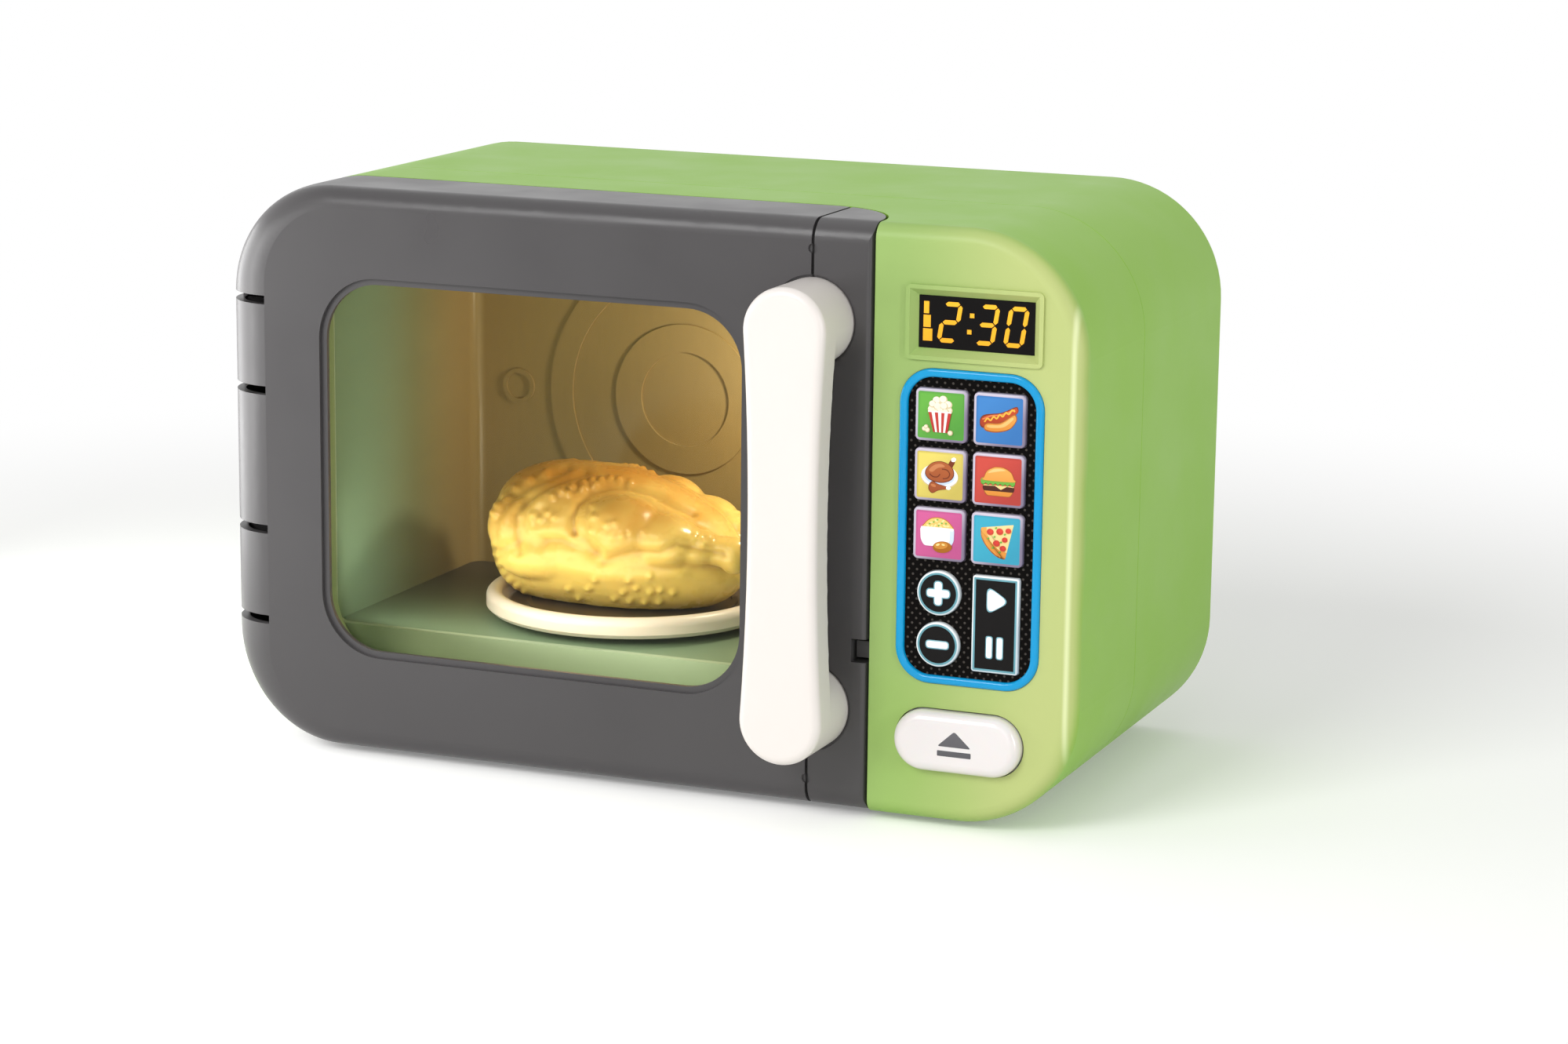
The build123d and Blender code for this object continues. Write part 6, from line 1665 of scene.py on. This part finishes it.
@dataclass
class Studio:
    """Floor, backdrop, lamps and the camera that took the picture."""

    camera_place: Triple = (0.46257, -1.07368, 0.31547)
    yaw: float = 22.1907
    pitch: float = 11.8927
    roll: float = 0.6698
    lens: float = 91.502
    sensor: float = 36.0
    floor_half: float = 6.0
    floor_colour: str = "#f4f4f2"
    floor_lift: float = 0.2
    room_level: float = 0.42
    shadow_reach: float = 0.3
    white_reach: float = 0.62
    boxes: tuple[SoftBox, ...] = (
        SoftBox("key_box", (-0.5, -1.7, 1.2), (0.0, 0.0, 0.08), (0.9, 0.9), 22.0),
        SoftBox("left_edge", (-0.33, -0.06, 0.105), (-0.13, -0.045, 0.085), (0.26, 0.19), 0.62),
        SoftBox("left_front", (-0.42, -0.3, 0.105), (-0.12, -0.056, 0.085), (0.24, 0.2), 0.58),
        SoftBox("right_strip", (1.4, -0.6, 0.35), (0.1, 0.0, 0.08), (0.15, 0.9), 5.8),
        SoftBox("edge_strip", (0.2, -0.42, 0.16), (0.125, -0.056, 0.08), (0.04, 0.3), 0.12),
        SoftBox("top_box", (0.0, 0.1, 1.5), (0.0, 0.0, 0.0), (1.2, 1.2), 2.4),
        SoftBox("oven_lamp", (0.033, 0.035, 0.121), (-0.08, 0.055, 0.06), (0.016, 0.016), 0.104, "#fff8ee"),
        SoftBox("oven_fill", (-0.046, -0.034, 0.052), (-0.036, 0.03, 0.06), (0.12, 0.03), 0.038, "#fffdfa"),
    )

    def build(self) -> None:
        """Builds the whole studio."""
        self.build_world()
        self.build_floor()
        for box in self.boxes:
            box.build()
        self.build_camera()
        bpy.context.scene.view_settings.view_transform = "Standard"

    def build_world(self) -> None:
        """Makes the room: plain and soft as light, white where the camera, gloss or glass looks at it."""
        world = bpy.data.worlds.new("studio_room")
        bpy.context.scene.world = world
        world.use_nodes = True
        tree = world.node_tree
        tree.nodes.clear()
        soft, white = [
            add_node(tree, "Background", {"Color": linear("#ffffff"), "Strength": level})
            for level in (self.room_level, 1.0)
        ]
        room = add_node(tree, "MixShader", {0: self.seen_rays(tree), 1: soft, 2: white})
        add_node(tree, "OutputWorld", {"Surface": room})

    def seen_rays(self, tree: Tree) -> Socket:
        """Tells the rays that look at the room from those that only carry its light.

        Args:
            tree: The node tree that asks.

        Returns:
            A socket that is 1 for camera, gloss and glass rays.
        """
        rays = add_node(tree, "LightPath").node.outputs
        kinds = {0: rays["Is Camera Ray"], 1: rays["Is Glossy Ray"]}
        first = add_node(tree, "Math", kinds, operation="MAXIMUM")
        return add_node(tree, "Math", {0: first, 1: rays["Is Transmission Ray"]}, operation="MAXIMUM")

    def build_floor(self) -> None:
        """Lays the floor: plain pale board, white where it is lit, that keeps the toy's shadow."""
        half = self.floor_half
        mesh = bpy.data.meshes.new("floor")
        edge = [(-half, -half, 0.0), (half, -half, 0.0), (half, half, 0.0), (-half, half, 0.0)]
        mesh.from_pydata(edge, [], [(0, 1, 2, 3)])
        floor = bpy.data.objects.new("floor", mesh)
        bpy.context.scene.collection.objects.link(floor)
        # Matt white paper board: its colour stays even, and it takes a soft shadow without any gleam.
        material = bpy.data.materials.new("paper_matt_white")
        material.use_nodes = True
        tree = material.node_tree
        tree.nodes.clear()
        board = add_node(tree, "BsdfDiffuse", {"Color": linear(self.floor_colour)})
        lift, white = [
            add_node(tree, "Emission", {"Color": linear("#ffffff"), "Strength": level})
            for level in (self.floor_lift, 1.0)
        ]
        near = add_node(tree, "AddShader", {0: board, 1: lift})
        place = add_node(tree, "TexCoord").node.outputs["Object"]
        reach = add_node(tree, "VectorMath", {0: place}, operation="LENGTH")
        fade = {"Value": reach, 1: self.shadow_reach, 2: self.white_reach}
        away = add_node(tree, "MapRange", fade, interpolation_type="SMOOTHSTEP")
        bright = add_node(tree, "MixShader", {0: away, 1: near, 2: white})
        look = add_node(tree, "MixShader", {0: self.seen_rays(tree), 1: board, 2: bright})
        add_node(tree, "OutputMaterial", {"Surface": look})
        mesh.materials.append(material)

    def build_camera(self) -> None:
        """Sets the camera where the picture was taken from, with its turn, tilt and lens."""
        yaw, pitch, roll = [math.radians(angle) for angle in (self.yaw, self.pitch, self.roll)]
        level = Vector((math.cos(yaw), math.sin(yaw), 0.0))
        onward = Vector((-math.sin(yaw), math.cos(yaw), 0.0))
        ahead = math.cos(pitch) * onward - math.sin(pitch) * Vector((0.0, 0.0, 1.0))
        upright = level.cross(ahead)
        right = math.cos(roll) * level + math.sin(roll) * upright
        up = math.cos(roll) * upright - math.sin(roll) * level
        data = bpy.data.cameras.new("camera")
        data.lens = self.lens
        data.sensor_width = self.sensor
        data.sensor_fit = "HORIZONTAL"
        camera = bpy.data.objects.new("camera", data)
        bpy.context.scene.collection.objects.link(camera)
        turn = Matrix((right, up, -ahead)).transposed().to_4x4()
        camera.matrix_world = Matrix.Translation(self.camera_place) @ turn
        bpy.context.scene.camera = camera


def main() -> None:
    """Builds the toy's looks and the studio, in order."""
    logging.basicConfig(level=logging.INFO, format="%(message)s")
    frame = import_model()
    for part in (Housing(), Oven(), Door(), ControlPanel(), Opener(), PowerAndSound(), RoastChicken()):
        part.dress(frame)
        log.info("finished %s", type(part).__name__)
    Studio().build()
    log.info("finished Studio")


if __name__ == "__main__":
    main()
